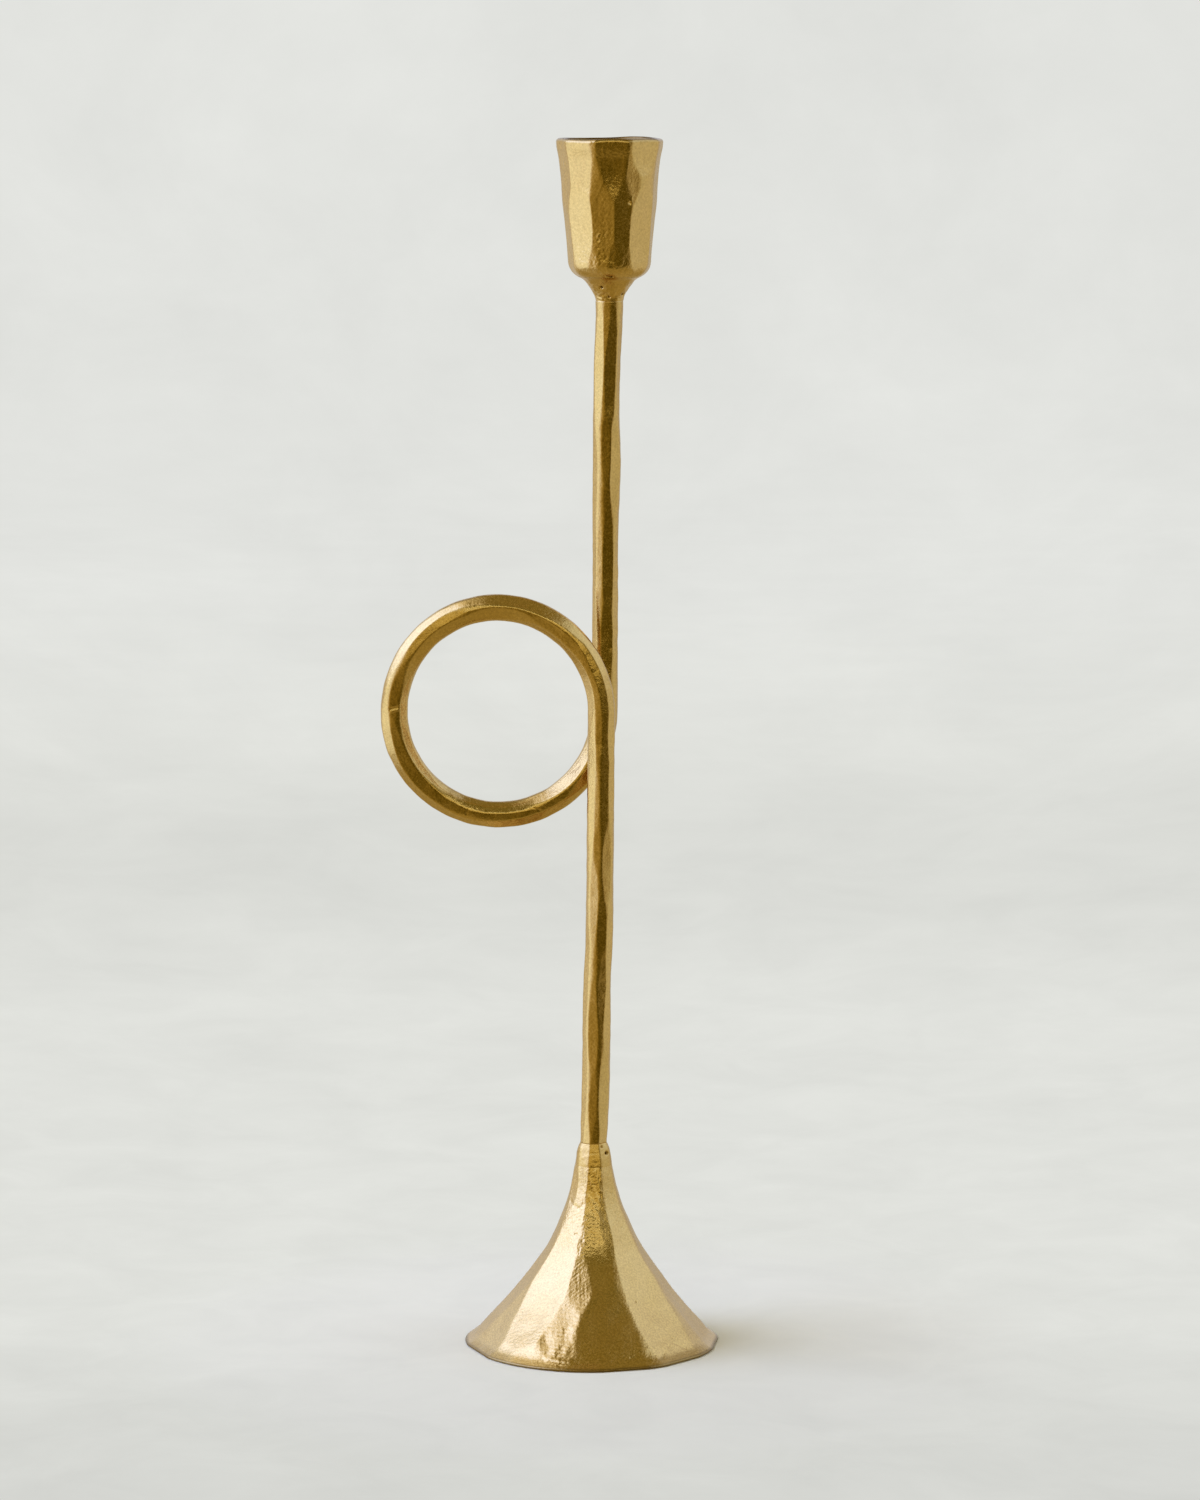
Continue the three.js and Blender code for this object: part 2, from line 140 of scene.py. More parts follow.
def add_node(tree, kind, values=None, links=None, **settings):
    """A new shader node, with its settings, the values on its sockets, and what feeds them."""
    node = tree.nodes.new("ShaderNode" + kind)
    for name, setting in settings.items():
        setattr(node, name, setting)
    for socket, value in (values or {}).items():
        node.inputs[socket].default_value = value
    for socket, source in (links or {}).items():
        tree.links.new(source, node.inputs[socket])
    return node


def ramp(add, stops, source):
    """Colours that change along a value, from stops of (value, tone)."""
    node = add("ValToRGB", links={0: source})
    first, last = node.color_ramp.elements
    first.position, last.position = stops[0][0], stops[-1][0]
    first.color, last.color = linear(stops[0][1]), linear(stops[-1][1])
    for value, tone in stops[1:-1]:
        node.color_ramp.elements.new(value).color = linear(tone)
    return node.outputs["Color"]


def empty_material(name):
    """A material without nodes, and the function that adds one to it."""
    material = bpy.data.materials.new(name)
    material.use_nodes = True
    material.node_tree.nodes.clear()
    return material, functools.partial(add_node, material.node_tree)


# The dark tone of oxide in pits and seams, also used for painted shade on the foot's rim and the
# cup's lip, and for the darker socket
OXIDE_AND_PAINTED_SHADE_TONE = "#4A3413"
PATCH_MM = 9
# The grain's low spots are glossier than its high ones, by these changes of roughness
LOW_SPOT_ROUGHNESS, HIGH_SPOT_ROUGHNESS = -0.05, 0.07
# How much its high spots are brighter, as a share of how much its low spots are darker
BRIGHT_SPOTS = 0.6


def hammered_brass(name, tone, deep_tone, roughness, grain_mm, grain_height_mm, mottling):
    """Brass that was cast or forged, hammered and wiped satin: even gold with a grain that
    breaks up the gloss and mottles the tone, and dark oxide left in the pits and seams. The same
    dark tone paints shade on the foot's rim and the cup's lip, and darkens the socket. The finest
    real grain wouldn't show, so the grain is drawn half a millimetre wide."""
    material, add = empty_material(name)
    place = add("TexCoord").outputs["Object"]
    grain = add("TexNoise", {"Scale": 1 / (grain_mm * MM), "Detail": 3, "Roughness": 0.6},
                {"Vector": place}).outputs["Fac"]
    patches = add("TexNoise", {"Scale": 1 / (PATCH_MM * MM), "Detail": 4}, {"Vector": place})
    gold = add("Mix", {MIX_FROM: linear(tone), MIX_TO: linear(deep_tone)},
               {MIX_SHARE: patches.outputs["Fac"]}, data_type="RGBA")
    over_grain = ((1 - mottling, 1 + BRIGHT_SPOTS * mottling),
                  (roughness + LOW_SPOT_ROUGHNESS, roughness + HIGH_SPOT_ROUGHNESS))
    speckle, sheen = [
        add("MapRange",
            {"From Min": NOISE_LOW, "From Max": NOISE_HIGH, "To Min": low, "To Max": high},
            {"Value": grain}).outputs["Result"]
        for low, high in over_grain
    ]
    gold = add("VectorMath", links={0: gold.outputs[MIX_OUT], "Scale": speckle}, operation="SCALE")
    # The mesh's darkening: oxide in the marks, painted shade on the foot's rim and the cup's lip,
    # and a darker socket
    hollow = add("Attribute", attribute_name="hollow")
    oxide = add("Mix", {MIX_TO: linear(OXIDE_AND_PAINTED_SHADE_TONE)},
                {MIX_SHARE: hollow.outputs["Fac"], MIX_FROM: gold.outputs["Vector"]},
                data_type="RGBA")
    relief = add("Bump", {"Strength": 1, "Distance": grain_height_mm * MM}, {"Height": grain})
    shader = add("BsdfPrincipled", {"Metallic": 1},
                 {"Base Color": oxide.outputs[MIX_OUT], "Roughness": sheen,
                  "Normal": relief.outputs["Normal"]})
    add("OutputMaterial", links={"Surface": shader.outputs["BSDF"]})
    return material


FIBRE_MM = 0.6
FIBRE_HEIGHT_MM = 0.12


def pressed_felt():
    """Wool felt, pressed flat: very dark, matt and faintly mottled by its fibres, which are drawn
    coarser than real ones so that they show."""
    material, add = empty_material("pressed_wool_felt")
    place = add("TexCoord").outputs["Object"]
    fibres = add("TexNoise", {"Scale": 1 / (FIBRE_MM * MM), "Detail": 6, "Distortion": 1.5},
                 {"Vector": place}).outputs["Fac"]
    colour = add("Mix", {MIX_FROM: linear("#231F1B"), MIX_TO: linear("#3A342E")},
                 {MIX_SHARE: fibres}, data_type="RGBA")
    nap = add("Bump", {"Strength": 1, "Distance": FIBRE_HEIGHT_MM * MM}, {"Height": fibres})
    shader = add("BsdfPrincipled", {"Roughness": 0.95, "Sheen Weight": 0.3},
                 {"Base Color": colour.outputs[MIX_OUT], "Normal": nap.outputs["Normal"]})
    add("OutputMaterial", links={"Surface": shader.outputs["BSDF"]})
    return material


# Shapes


# How far round from its middle a flat can cut, in degrees
FLAT_REACH = 75
# How many ridges deep or high a flat can lie and still be told apart in the sum of flats
RIDGE_LIMIT = 60
# Waves in each layer of grain, and the spread of how closely they follow each other
WAVES = 16
WAVE_SPREAD = (0.6, 1.5)
# Oxide shows in marks from this depth on, in millimetres, would hide the gold this much deeper,
# and never hides more than this share of it
OXIDE_FROM = 0.26
OXIDE_OVER = 0.3
DARKEST_OXIDE = 0.85
# How near an edge its last ring lies, as a share of the height, so that the edge stays crisp
EDGE_SHARE = 0.001


def through(points, places):
    """A smooth curve through points of (place, value), with its places in rising order."""
    x, y = np.array(points, float).T
    last = len(x) - 1
    slopes = np.array([
        (y[min(k + 1, last)] - y[max(k - 1, 0)]) / (x[min(k + 1, last)] - x[max(k - 1, 0)])
        for k in range(last + 1)
    ])
    places = np.asarray(places, float)
    i = np.searchsorted(x[1:-1], places)
    span = x[i + 1] - x[i]
    t = np.clip((places - x[i]) / span, 0, 1)
    rise = (3 - 2 * t) * t * t
    leave = t * (1 - t) ** 2 * span * slopes[i]
    arrive = t * t * (t - 1) * span * slopes[i + 1]
    return y[i] + (y[i + 1] - y[i]) * rise + leave + arrive


def smooth(value, low, high):
    """A soft step from 0 at low to 1 at high."""
    t = np.clip((np.asarray(value, float) - low) / (high - low), 0, 1)
    return t * t * (3 - 2 * t)


def turned_from(degrees, middle):
    """How far degrees lie to the right of a middle, from -180 to 180."""
    return (degrees - middle + 180) % 360 - 180


def all_round(sides):
    """Degrees of evenly spaced points round a ring."""
    return np.arange(sides) * 360 / sides


def hammered(radius, along, degrees, blows, ridge):
    """The radius of a round surface that blows have flattened. Each blow is a flat of
    (place along, half length, degrees round, half width in degrees), and the ridges between
    flats are rounded by about the width of a ridge."""
    total = np.ones(np.broadcast(radius, along, degrees).shape)
    for place, half_length, middle, half_width in blows:
        turn = turned_from(degrees, middle)
        depth = 1 - math.cos(math.radians(half_width))
        reach = 1 - ((along - place) / half_length) ** 2
        across = np.cos(np.radians(np.clip(turn, -FLAT_REACH, FLAT_REACH)))
        flat = radius * (1 - depth * reach) / across
        rise = np.clip((radius - flat) / ridge, -RIDGE_LIMIT, RIDGE_LIMIT)
        total += np.where(np.abs(turn) > FLAT_REACH, 0, np.exp(rise))
    return radius - ridge * np.log(total)


def grain(points, layers, seed):
    """The small unevenness that casting and light blows leave: layers of (wavelength, height),
    each made of waves in random directions."""
    random = np.random.default_rng(seed)
    total = np.zeros(points.shape[:-1])
    for wavelength, height in layers:
        directions = random.normal(size=(3, WAVES))
        directions /= np.linalg.norm(directions, axis=0)
        pitch = random.uniform(*WAVE_SPREAD, WAVES) * 2 * math.pi / wavelength
        phases = random.uniform(0, 2 * math.pi, WAVES)
        waves = np.sin(points @ (directions * pitch) + phases)
        total += height * waves.sum(axis=-1) / math.sqrt(WAVES / 2)
    return total


def marks_on(along, degrees, radius, marks):
    """How deep soft-edged strokes go, each of (place and degrees at one end, at the other end,
    half width, depth). Pits and seams go in, and what has a depth below zero stands out."""
    total = np.zeros(np.broadcast(along, degrees, radius).shape)
    for (start, start_degrees), (end, end_degrees), half_width, depth in marks:
        up = along - start
        across = np.radians(turned_from(degrees, start_degrees)) * radius
        length = end - start
        swing = np.radians(end_degrees - start_degrees) * radius
        squared = np.maximum(length**2 + swing**2, 1e-9)  # a dot has no length, and divides by this
        way = np.clip((up * length + across * swing) / squared, 0, 1)
        distance = (up - way * length) ** 2 + (across - way * swing) ** 2
        total += depth * np.exp(-distance / half_width**2)
    return total


def tarnish(depths):
    """How dark the marks are: only deep ones keep oxide that nobody wipes out of them."""
    return np.clip((depths - OXIDE_FROM) / OXIDE_OVER, 0, DARKEST_OXIDE)


def rings_round(centres, sides_out, degrees, radii):
    """Rings of points round a line of centres, each with its own direction of 90 degrees."""
    angle = np.radians(degrees)[None, :, None]
    front = np.array([0.0, -1.0, 0.0])
    out = np.cos(angle) * front + np.sin(angle) * sides_out[:, None, :]
    return centres[:, None, :] + out * radii[:, :, None]


def level_rings(xs, heights, degrees, radii):
    """Level rings, which lie straight above each other where xs is one place for all of them."""
    count = len(heights)
    centres = np.stack([np.broadcast_to(xs, count), np.zeros(count), heights], axis=1)
    return rings_round(centres, np.tile([1.0, 0.0, 0.0], (count, 1)), degrees, radii)


def even_rings(radii, sides):
    """Radii or heights that are the same all the way round each ring."""
    return np.tile(np.array(radii)[:, None], (1, sides))


def mesh_piece(name, points, faces, material):
    """A smoothly shaded mesh of points in metres, as an object of the scene."""
    mesh = bpy.data.meshes.new(name)
    mesh.from_pydata(points.tolist(), [], faces)
    mesh.polygons.foreach_set("use_smooth", [True] * len(mesh.polygons))
    mesh.materials.append(material)
    piece = bpy.data.objects.new(name, mesh)
    bpy.context.scene.collection.objects.link(piece)
    return piece


def skin(name, rings, hollow, closes_on_itself, material, node):
    """A closed mesh over rings of points, which stands for a node of the part."""
    count, sides = rings.shape[:2]
    points = rings.reshape(-1, 3)
    shade = hollow.reshape(-1)
    strips = count if closes_on_itself else count - 1
    here = (np.arange(strips)[:, None] * sides + np.arange(sides)).ravel()
    after = (np.arange(strips)[:, None] * sides + (np.arange(sides) + 1) % sides).ravel()
    total = count * sides
    faces = np.stack([here, after, (after + sides) % total, (here + sides) % total], axis=1).tolist()
    if not closes_on_itself:
        ends = [rings[0].mean(axis=0), rings[-1].mean(axis=0)]
        points = np.vstack([points, ends])
        shade = np.append(shade, [0, 0])
        for k in range(sides):
            following = (k + 1) % sides
            faces.append([total, following, k])
            faces.append([total + 1, total - sides + k, total - sides + following])
    piece = mesh_piece(name, points * MM, faces, material)
    darkness = piece.data.attributes.new("hollow", "FLOAT", "POINT")
    darkness.data.foreach_set("value", shade.astype(np.float32))
    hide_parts(node)
    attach(piece, "root")


# The bar


LOOP_LENGTH = 2 * math.pi * LOOP_RADIUS
# Sway: share of the stretch, and millimetres to the right
LOWER_SWAY = [(0, 0), (0.14, 0.6), (0.38, 0.97), (0.47, 1.46), (0.7, 1.8), (1, LOWER_STEM_LEAN)]
UPPER_SWAY = [(0, 0), (0.27, 0.18), (0.46, 0.28), (0.61, 0.6), (0.72, 0.45), (0.85, 0.7),
              (0.95, 1.2), (1, UPPER_STEM_LEAN)]
# Girth: share of the stretch, and the radius there as a share of the bar's own
LOWER_GIRTH = [(0, 0.985), (0.07, 1.04), (0.31, 1.05), (0.42, 1.005), (0.52, 1.03), (0.65, 1.01),
               (0.75, 1.02), (0.85, 1), (1, 1)]
LOOP_GIRTH = [(0, 1), (0.42, 0.985), (0.56, 1.015), (0.68, 0.98), (0.75, 0.97), (1, 0.985)]
UPPER_GIRTH = [(0, 0.985), (0.3, 0.95), (0.46, 0.97), (0.6, 1.035), (0.7, 0.99), (0.76, 0.96),
               (0.85, 0.985), (1, 1.01)]
# Bulge: share of the loop, and millimetres outwards
LOOP_BULGE = [(0, 0), (0.42, 0), (0.56, 0.26), (0.68, 0.1), (0.76, 0), (1, 0)]
# The share of the loop from which on it drifts and grows
LOOP_DRIFT_FROM = 0.5
# Blows: share of the stretch, half length in millimetres, degrees round, half width
LOWER_BLOWS = [
    (0, 9, -34, 18), (0, 8, 3, 17), (0, 9, 50, 24), (0.08, 10, -9, 18), (0.27, 12.5, -15, 22),
    (0.36, 12, 22, 23), (0.5, 9, 10, 20), (0.565, 12, -27, 21), (0.655, 11, 32, 24),
    (0.69, 6.5, -14, 15), (0.8, 9, -22, 15), (0.95, 8, -8, 15), (0.86, 20, 19, 19),
    (0.13, 18, -57, 20), (0.38, 16, -60, 20), (0.84, 18, -45, 22), (0.12, 12, 39, 26),
    (0.29, 10, 53, 23), (0.46, 12, 56, 20), (0.83, 9, 56, 20), (0.95, 8, 52, 22),
]
LOOP_BLOWS = [
    (0.05, 11, -55, 27), (0.03, 8, -14, 15), (0.135, 12, -12, 22), (0.05, 12, 17, 18),
    (0.06, 13, 53, 20), (0.2, 17, 44, 29), (0.245, 10, -24, 28), (0.37, 15, -32, 24),
    (0.355, 10, 12, 20), (0.38, 13, 52, 20), (0.47, 7, 1, 22), (0.5, 9, -50, 20),
    (0.57, 12, -46, 19), (0.69, 12, -60, 19), (0.6, 15, 2, 26), (0.535, 9, 45, 24),
    (0.63, 11, 52, 24), (0.675, 5.5, 5, 20), (0.755, 9, 6, 17), (0.735, 13, -28, 14),
    (0.8, 16, 42, 25), (0.84, 7, 8, 16), (0.87, 13, -42, 28), (0.9, 9, 20, 22),
]
UPPER_BLOWS = [
    (0.17, 14, -62, 18), (0.4, 14, -62, 18), (0.56, 12, -60, 19), (0.17, 12, 8, 27),
    (0.36, 15, 13, 25), (0.36, 12, -27, 14), (0.28, 18, 60, 20), (0.52, 4, 3, 14),
    (0.64, 10, 1, 23), (0.6, 12.5, 40, 29), (0.84, 16, -44, 27), (0.84, 16, 17, 26),
    (0.85, 8, 24, 20), (0.94, 8, -9, 17), (0.87, 14, 66, 20),
]
# The far side's blows: degrees round of their rows, half length and half width of each blow,
# millimetres from one to the next, and degrees that they stand to one side and the other
FAR_ROWS = (128, 180, 232)
FAR_HALF_LENGTH = 11
FAR_HALF_WIDTH = 24
FAR_SPACING = 17
FAR_STAGGER = 9
# Marks on the bar: both ends as millimetres along it and degrees round, half width, depth
LEDGE = LOWER_STEM_LENGTH + 0.492 * LOOP_LENGTH
BAR_MARKS = [
    ((LEDGE, -14), (LEDGE + 0.5, 14), 0.28, 0.22),
    ((LEDGE + 0.55, -14), (LEDGE + 1.05, 12), 0.35, -0.14),
    ((LEDGE + 35.6, -12), (LEDGE + 35.6, 14), 0.22, 0.1),
    ((LEDGE + 53.5, -10), (LEDGE + 54.7, 12), 0.22, 0.1),
    ((LEDGE - 60.2, 4), (LEDGE - 46.5, 11), 0.25, -0.07),
    ((LEDGE - 46.5, 11), (LEDGE - 32.8, 7), 0.25, -0.07),
]
BAR_RIDGE = 0.035
BAR_GRAIN = [(6, 0.026), (1.8, 0.005), (0.8, 0.004)]
BAR_GRAIN_SEED = 3
BAR_SIDES = 116
BAR_RING_SPACING = 0.28


def lower_line(share):
    """The lower strand's centres and their directions of 90 degrees, from the foot up."""
    height = share * LOWER_STEM_LENGTH
    hold = LOWER_STEM_LENGTH - LOOP_RADIUS * math.sin(math.radians(CROSSING_HOLD))
    x = FOOT_NECK_SHIFT + through(LOWER_SWAY, share)
    forward = -STRAND_OFFSET * smooth(height, 0, hold)
    centres = np.stack([x, forward, LOWER_SHOULDER + height], axis=1)
    return centres, np.tile([1.0, 0.0, 0.0], (len(share), 1))


def loop_line(share):
    """The loop's centres and their directions of 90 degrees, from the front strand round."""
    angle = 2 * math.pi * share
    out = np.stack([np.cos(angle), 0 * angle, np.sin(angle)], axis=1)
    late = smooth(share, LOOP_DRIFT_FROM, 1)
    across = 2 * smooth(360 * share, CROSSING_HOLD, 360 - CROSSING_HOLD) - 1
    middle_x = LOWER_STEM_TOP_X - LOOP_RADIUS + LOOP_DRIFT * late
    height = LOOP_MIDDLE + LOOP_TALLER * np.sin(angle)
    centres = np.stack([middle_x, STRAND_OFFSET * across, height], axis=1)
    radius = LOOP_RADIUS + LOOP_GROWTH * late + through(LOOP_BULGE, share)
    return centres + out * radius[:, None], out


def upper_line(share):
    """The upper strand's centres and their directions of 90 degrees, from the loop up."""
    height = share * UPPER_STEM_LENGTH
    hold = LOOP_RADIUS * math.sin(math.radians(CROSSING_HOLD))
    x = UPPER_STEM_FOOT_X + through(UPPER_SWAY, share)
    back = STRAND_OFFSET * (1 - smooth(height, hold, UPPER_STEM_LENGTH))
    centres = np.stack([x, back, LOOP_MIDDLE + height], axis=1)
    return centres, np.tile([1.0, 0.0, 0.0], (len(share), 1))


def far_blows(length):
    """Staggered rows of blows on the far side, as the part has them."""
    blows = []
    for row, degrees in enumerate(FAR_ROWS):
        stagger = FAR_STAGGER
        for place in np.arange(row * FAR_SPACING / len(FAR_ROWS), length, FAR_SPACING):
            blows.append((place, FAR_HALF_LENGTH, degrees + stagger, FAR_HALF_WIDTH))
            stagger = -stagger
    return blows


def tenon(x, tip, shoulder, degrees):
    """The turned pin at one end of the bar, from its tip to its shoulder."""
    way = math.copysign(TENON_CHAMFER, shoulder - tip)
    radii = even_rings([TENON_RADIUS - TENON_CHAMFER, TENON_RADIUS, TENON_RADIUS], len(degrees))
    return level_rings(x, np.array([tip, tip + way, shoulder]), degrees, radii)


def looped_bar(material):
    """Makes the bar, and gives back its radii at its two shoulders."""
    stretches = [
        (LOWER_STEM_LENGTH, lower_line, LOWER_GIRTH, LOWER_BLOWS),
        (LOOP_LENGTH, loop_line, LOOP_GIRTH, LOOP_BLOWS),
        (UPPER_STEM_LENGTH, upper_line, UPPER_GIRTH, UPPER_BLOWS),
    ]
    degrees = all_round(BAR_SIDES)
    blows = far_blows(LOWER_STEM_LENGTH + LOOP_LENGTH + UPPER_STEM_LENGTH)
    start = 0
    centres, outs, radii, alongs = [], [], [], []
    for length, line, girth, own_blows in stretches:
        blows += [(start + share * length, *rest) for share, *rest in own_blows]
        steps = math.ceil(length / BAR_RING_SPACING)
        share = np.arange(0 if start == 0 else 1, steps + 1) / steps
        middle, out = line(share)
        centres.append(middle)
        outs.append(out)
        radii.append(BAR_RADIUS * through(girth, share))
        alongs.append(start + share * length)
        start += length
    centres, outs = np.vstack(centres), np.vstack(outs)
    radius, along = np.concatenate(radii)[:, None], np.concatenate(alongs)[:, None]
    surface = hammered(radius, along, degrees, blows, BAR_RIDGE)
    depths = marks_on(along, degrees, radius, BAR_MARKS)
    texture = grain(rings_round(centres, outs, degrees, surface), BAR_GRAIN, BAR_GRAIN_SEED)
    rings = rings_round(centres, outs, degrees, surface + texture - depths)
    foot_tip = FOOT_TOP - FOOT_NECK_LENGTH + JOINT_CLEARANCE
    foot_end = tenon(FOOT_NECK_SHIFT, foot_tip, LOWER_SHOULDER, degrees)
    cup_end = tenon(CUP_X, CUP_UNDERSIDE + CUP_TENON_LENGTH, UPPER_SHOULDER, degrees)
    rings = np.concatenate([foot_end, rings, cup_end[::-1]])
    clean_end = np.zeros(foot_end.shape[:2])
    hollow = np.concatenate([clean_end, tarnish(depths), clean_end])
    skin("hammered_bar", rings, hollow, False, material, "looped_stem")
    return surface[:1], surface[-1:]


# The cup


# Flare: share of the wall's height, and share of the way from the shoulder's radius to the lip's
CUP_FLARE = [(0, 0), (0.31, 0.28), (0.48, 0.47), (0.65, 0.57), (0.85, 0.77), (0.95, 0.96), (1, 1)]
# Blows: height above the cup's underside, half length, degrees round, half width
CUP_BLOWS = [
    (29, 12, -37, 17), (14, 11.5, -42, 21), (27, 13, -68, 15), (8, 12, -72, 14),
    (24.6, 6.8, -16, 10.5), (31, 12.5, 2.5, 18.5), (15, 14, -9, 17), (16, 11, 17, 13),
    (5, 3, -23, 8), (4.6, 2.8, 23, 7), (5.5, 4, 4, 11), (26.2, 7, 28.5, 10.5),
    (11.5, 12, 49, 22), (33, 7, 45, 20), (18, 22, 79, 14), (16, 18, 117, 18), (27, 16, 148, 17),
    (13, 18, 176, 18), (26, 16, 207, 17), (15, 18, 240, 18),
]
# Marks: both ends as height and degrees round, half width, depth
CUP_MARKS = [
    ((19.4, 26), (19.4, 26), 0.3, 0.3), ((19.9, 24), (19.9, 24), 0.3, -0.1),
    ((10.8, -16), (11.4, -14), 0.3, -0.13), ((9.8, -15), (9.8, -15), 0.25, 0.12),
    ((19, -21), (25, -7.5), 0.3, -0.03), ((25, -7.5), (30.2, -12), 0.3, -0.03),
    ((0.5, -5), (0.3, 4), 0.4, 0.4), ((21, 28), (15.5, 27), 0.35, -0.06),
    ((29.2, -67), (29.2, -67), 0.4, -0.12), ((33.5, -8), (31.5, -6), 0.25, -0.05),
]
# Areas with a coarser skin: both ends, half width, how much coarser
CUP_ROUGH_AREAS = [
    ((4, -12), (12, -12), 3, 1.8), ((5, -48), (15, -45), 3, 1), ((2, -30), (3, 30), 2, 1.5),
]
CUP_RIDGE = 0.05
# The coarse grain is drawn out upwards, which these shares of right, back and up do
CUP_GRAIN_DRAWN = [1, 1, 0.6]
CUP_GRAIN = [(6, 0.028), (2.4, 0.006)]
CUP_GRAIN_SEED = 5
CUP_SPECKLE = [(1.1, 0.005), (0.6, 0.005)]
CUP_SPECKLE_SEED = 6
# The lip's waves, how far they reach down and how high they may stand
LIP_WAVES = [(14, 0.13)]
LIP_WAVES_SEED = 8
LIP_WAVES_DOWN = 4
LIP_WAVES_LIMIT = 0.2
# How much darker the socket is inside, and how dark the lip's painted shade is towards it
SOCKET_DARKENING = 0.5
LIP_PAINTED_SHADE = 0.8
# How far up the underside's corner lies that rounds into the shoulder, as a share of its height
SHOULDER_CORNER = 0.3
CUP_SIDES = 440
SHOULDER_RINGS = 28
CUP_WALL_RINGS = 150
LIP_RINGS = 20
SOCKET_RINGS = 60


def cup_outside(height):
    """The cup's outer radius at a height above its underside, from the shoulder up."""
    top = CUP_HEIGHT - CUP_WALL / 2
    share = through(CUP_FLARE, (height - CUP_SHOULDER_HEIGHT) / (top - CUP_SHOULDER_HEIGHT))
    return CUP_SHOULDER_RADIUS + (MOUTH_RADIUS + CUP_WALL - CUP_SHOULDER_RADIUS) * share


def candle_cup(material):
    """The cup, in rings from the bore in its underside, up its outside, over the lip and down
    into the socket."""
    degrees = all_round(CUP_SIDES)
    lip_round = CUP_WALL / 2
    wall_top = CUP_HEIGHT - lip_round
    t = np.linspace(0, 1, SHOULDER_RINGS)[1:-1]
    shoulder_radius = (1 - t) ** 2 * CUP_UNDERSIDE_RADIUS + (1 - (1 - t) ** 2) * CUP_SHOULDER_RADIUS
    shoulder_height = CUP_SHOULDER_HEIGHT * (2 * t * (1 - t) * SHOULDER_CORNER + t * t)
    wall_height = np.linspace(CUP_SHOULDER_HEIGHT, wall_top, CUP_WALL_RINGS)
    lip_angle = np.linspace(0, math.pi, LIP_RINGS)[1:]
    lip_height = wall_top + lip_round * np.sin(lip_angle)
    lip_radius = MOUTH_RADIUS + lip_round + lip_round * np.cos(lip_angle)
    heights = np.concatenate([shoulder_height, wall_height, lip_height])[:, None]
    radii = np.concatenate([shoulder_radius, cup_outside(wall_height), lip_radius])[:, None]
    below_lip = np.ones(len(heights) - len(lip_angle))
    worked = np.concatenate([below_lip, (1 + np.cos(lip_angle)) / 2])[:, None]

    outside = radii + (hammered(radii, heights, degrees, CUP_BLOWS, CUP_RIDGE) - radii) * worked
    depths = marks_on(heights, degrees, radii, CUP_MARKS)
    points = level_rings(CUP_X, heights[:, 0], degrees, outside)
    coarser = 1 + marks_on(heights, degrees, radii, CUP_ROUGH_AREAS)
    skin_height = grain(points * CUP_GRAIN_DRAWN, CUP_GRAIN, CUP_GRAIN_SEED)
    skin_height += coarser * grain(points, CUP_SPECKLE, CUP_SPECKLE_SEED)
    outside = outside + worked * skin_height - depths
    outer = level_rings(CUP_X, CUP_UNDERSIDE + heights[:, 0], degrees, outside)
    lip_waves = grain(points, LIP_WAVES, LIP_WAVES_SEED)
    lip_waves *= smooth(heights, wall_top - LIP_WAVES_DOWN, wall_top)
    outer[:, :, 2] += np.minimum(lip_waves, LIP_WAVES_LIMIT)

    socket_height = np.linspace(wall_top, CUP_FLOOR - CUP_UNDERSIDE, SOCKET_RINGS)[1:]
    socket_radius = even_rings(cup_outside(socket_height) - CUP_WALL, CUP_SIDES)
    socket = level_rings(CUP_X, CUP_UNDERSIDE + socket_height, degrees, socket_radius)
    bore_height = CUP_UNDERSIDE + np.array([CUP_TENON_LENGTH + JOINT_CLEARANCE, 0.0, 0.0])
    bore_radius = even_rings([BORE_RADIUS, BORE_RADIUS, CUP_UNDERSIDE_RADIUS], CUP_SIDES)
    bore = level_rings(CUP_X, bore_height, degrees, bore_radius)

    rings = np.concatenate([bore, outer, socket])
    # The socket is darker inside, and painted shade deepens over the lip towards the socket
    hollow = np.full(rings.shape[:2], SOCKET_DARKENING)
    hollow[len(bore) : len(bore) + len(depths)] = tarnish(depths) + LIP_PAINTED_SHADE * (1 - worked) ** 0.5
    skin("hammered_cup", rings, hollow, False, material, "candle_cup")


# The foot


# Flare: share of the way from rim to neck, and share of the way from the neck's radius to the rim's
FOOT_FLARE = [(0, 0.985), (0.03, 0.915), (0.08, 0.844), (0.155, 0.737), (0.26, 0.588),
              (0.385, 0.434), (0.53, 0.27), (0.68, 0.152), (0.825, 0.063), (1, 0)]
# Lean: share of the foot's height, and how much of the neck's shift it has there
FOOT_LEAN = [(0, 0), (0.2, 0.4), (0.45, 1.35), (0.75, 1.3), (1, 1)]
# Blows: height above the rim, half length, degrees round, half width
FOOT_BLOWS = [
    (20, 17, -43, 22), (6, 12, -67, 14), (22, 22, -80, 14), (33.5, 7, -36, 17),
    (42.5, 6, -62, 19), (47, 11, -34, 18), (49, 8, 3, 17), (19.5, 7, -13, 14),
    (25.5, 5.5, -22, 8), (11, 8.5, -21, 12), (8, 9, 0, 8), (11, 14, 9, 10), (26, 9, 3, 16),
    (21, 4.5, 5, 12), (33, 8, 19, 13.5), (41, 10, -2, 15.5), (5, 14, 15, 12), (22, 26, 46, 20),
    (38, 14, 43, 20), (14, 24, 82, 13), (14, 24, 110, 13), (20, 26, 140, 13), (13, 24, 168, 13),
    (20, 26, 196, 13), (13, 24, 224, 13), (19, 26, 252, 13),
]
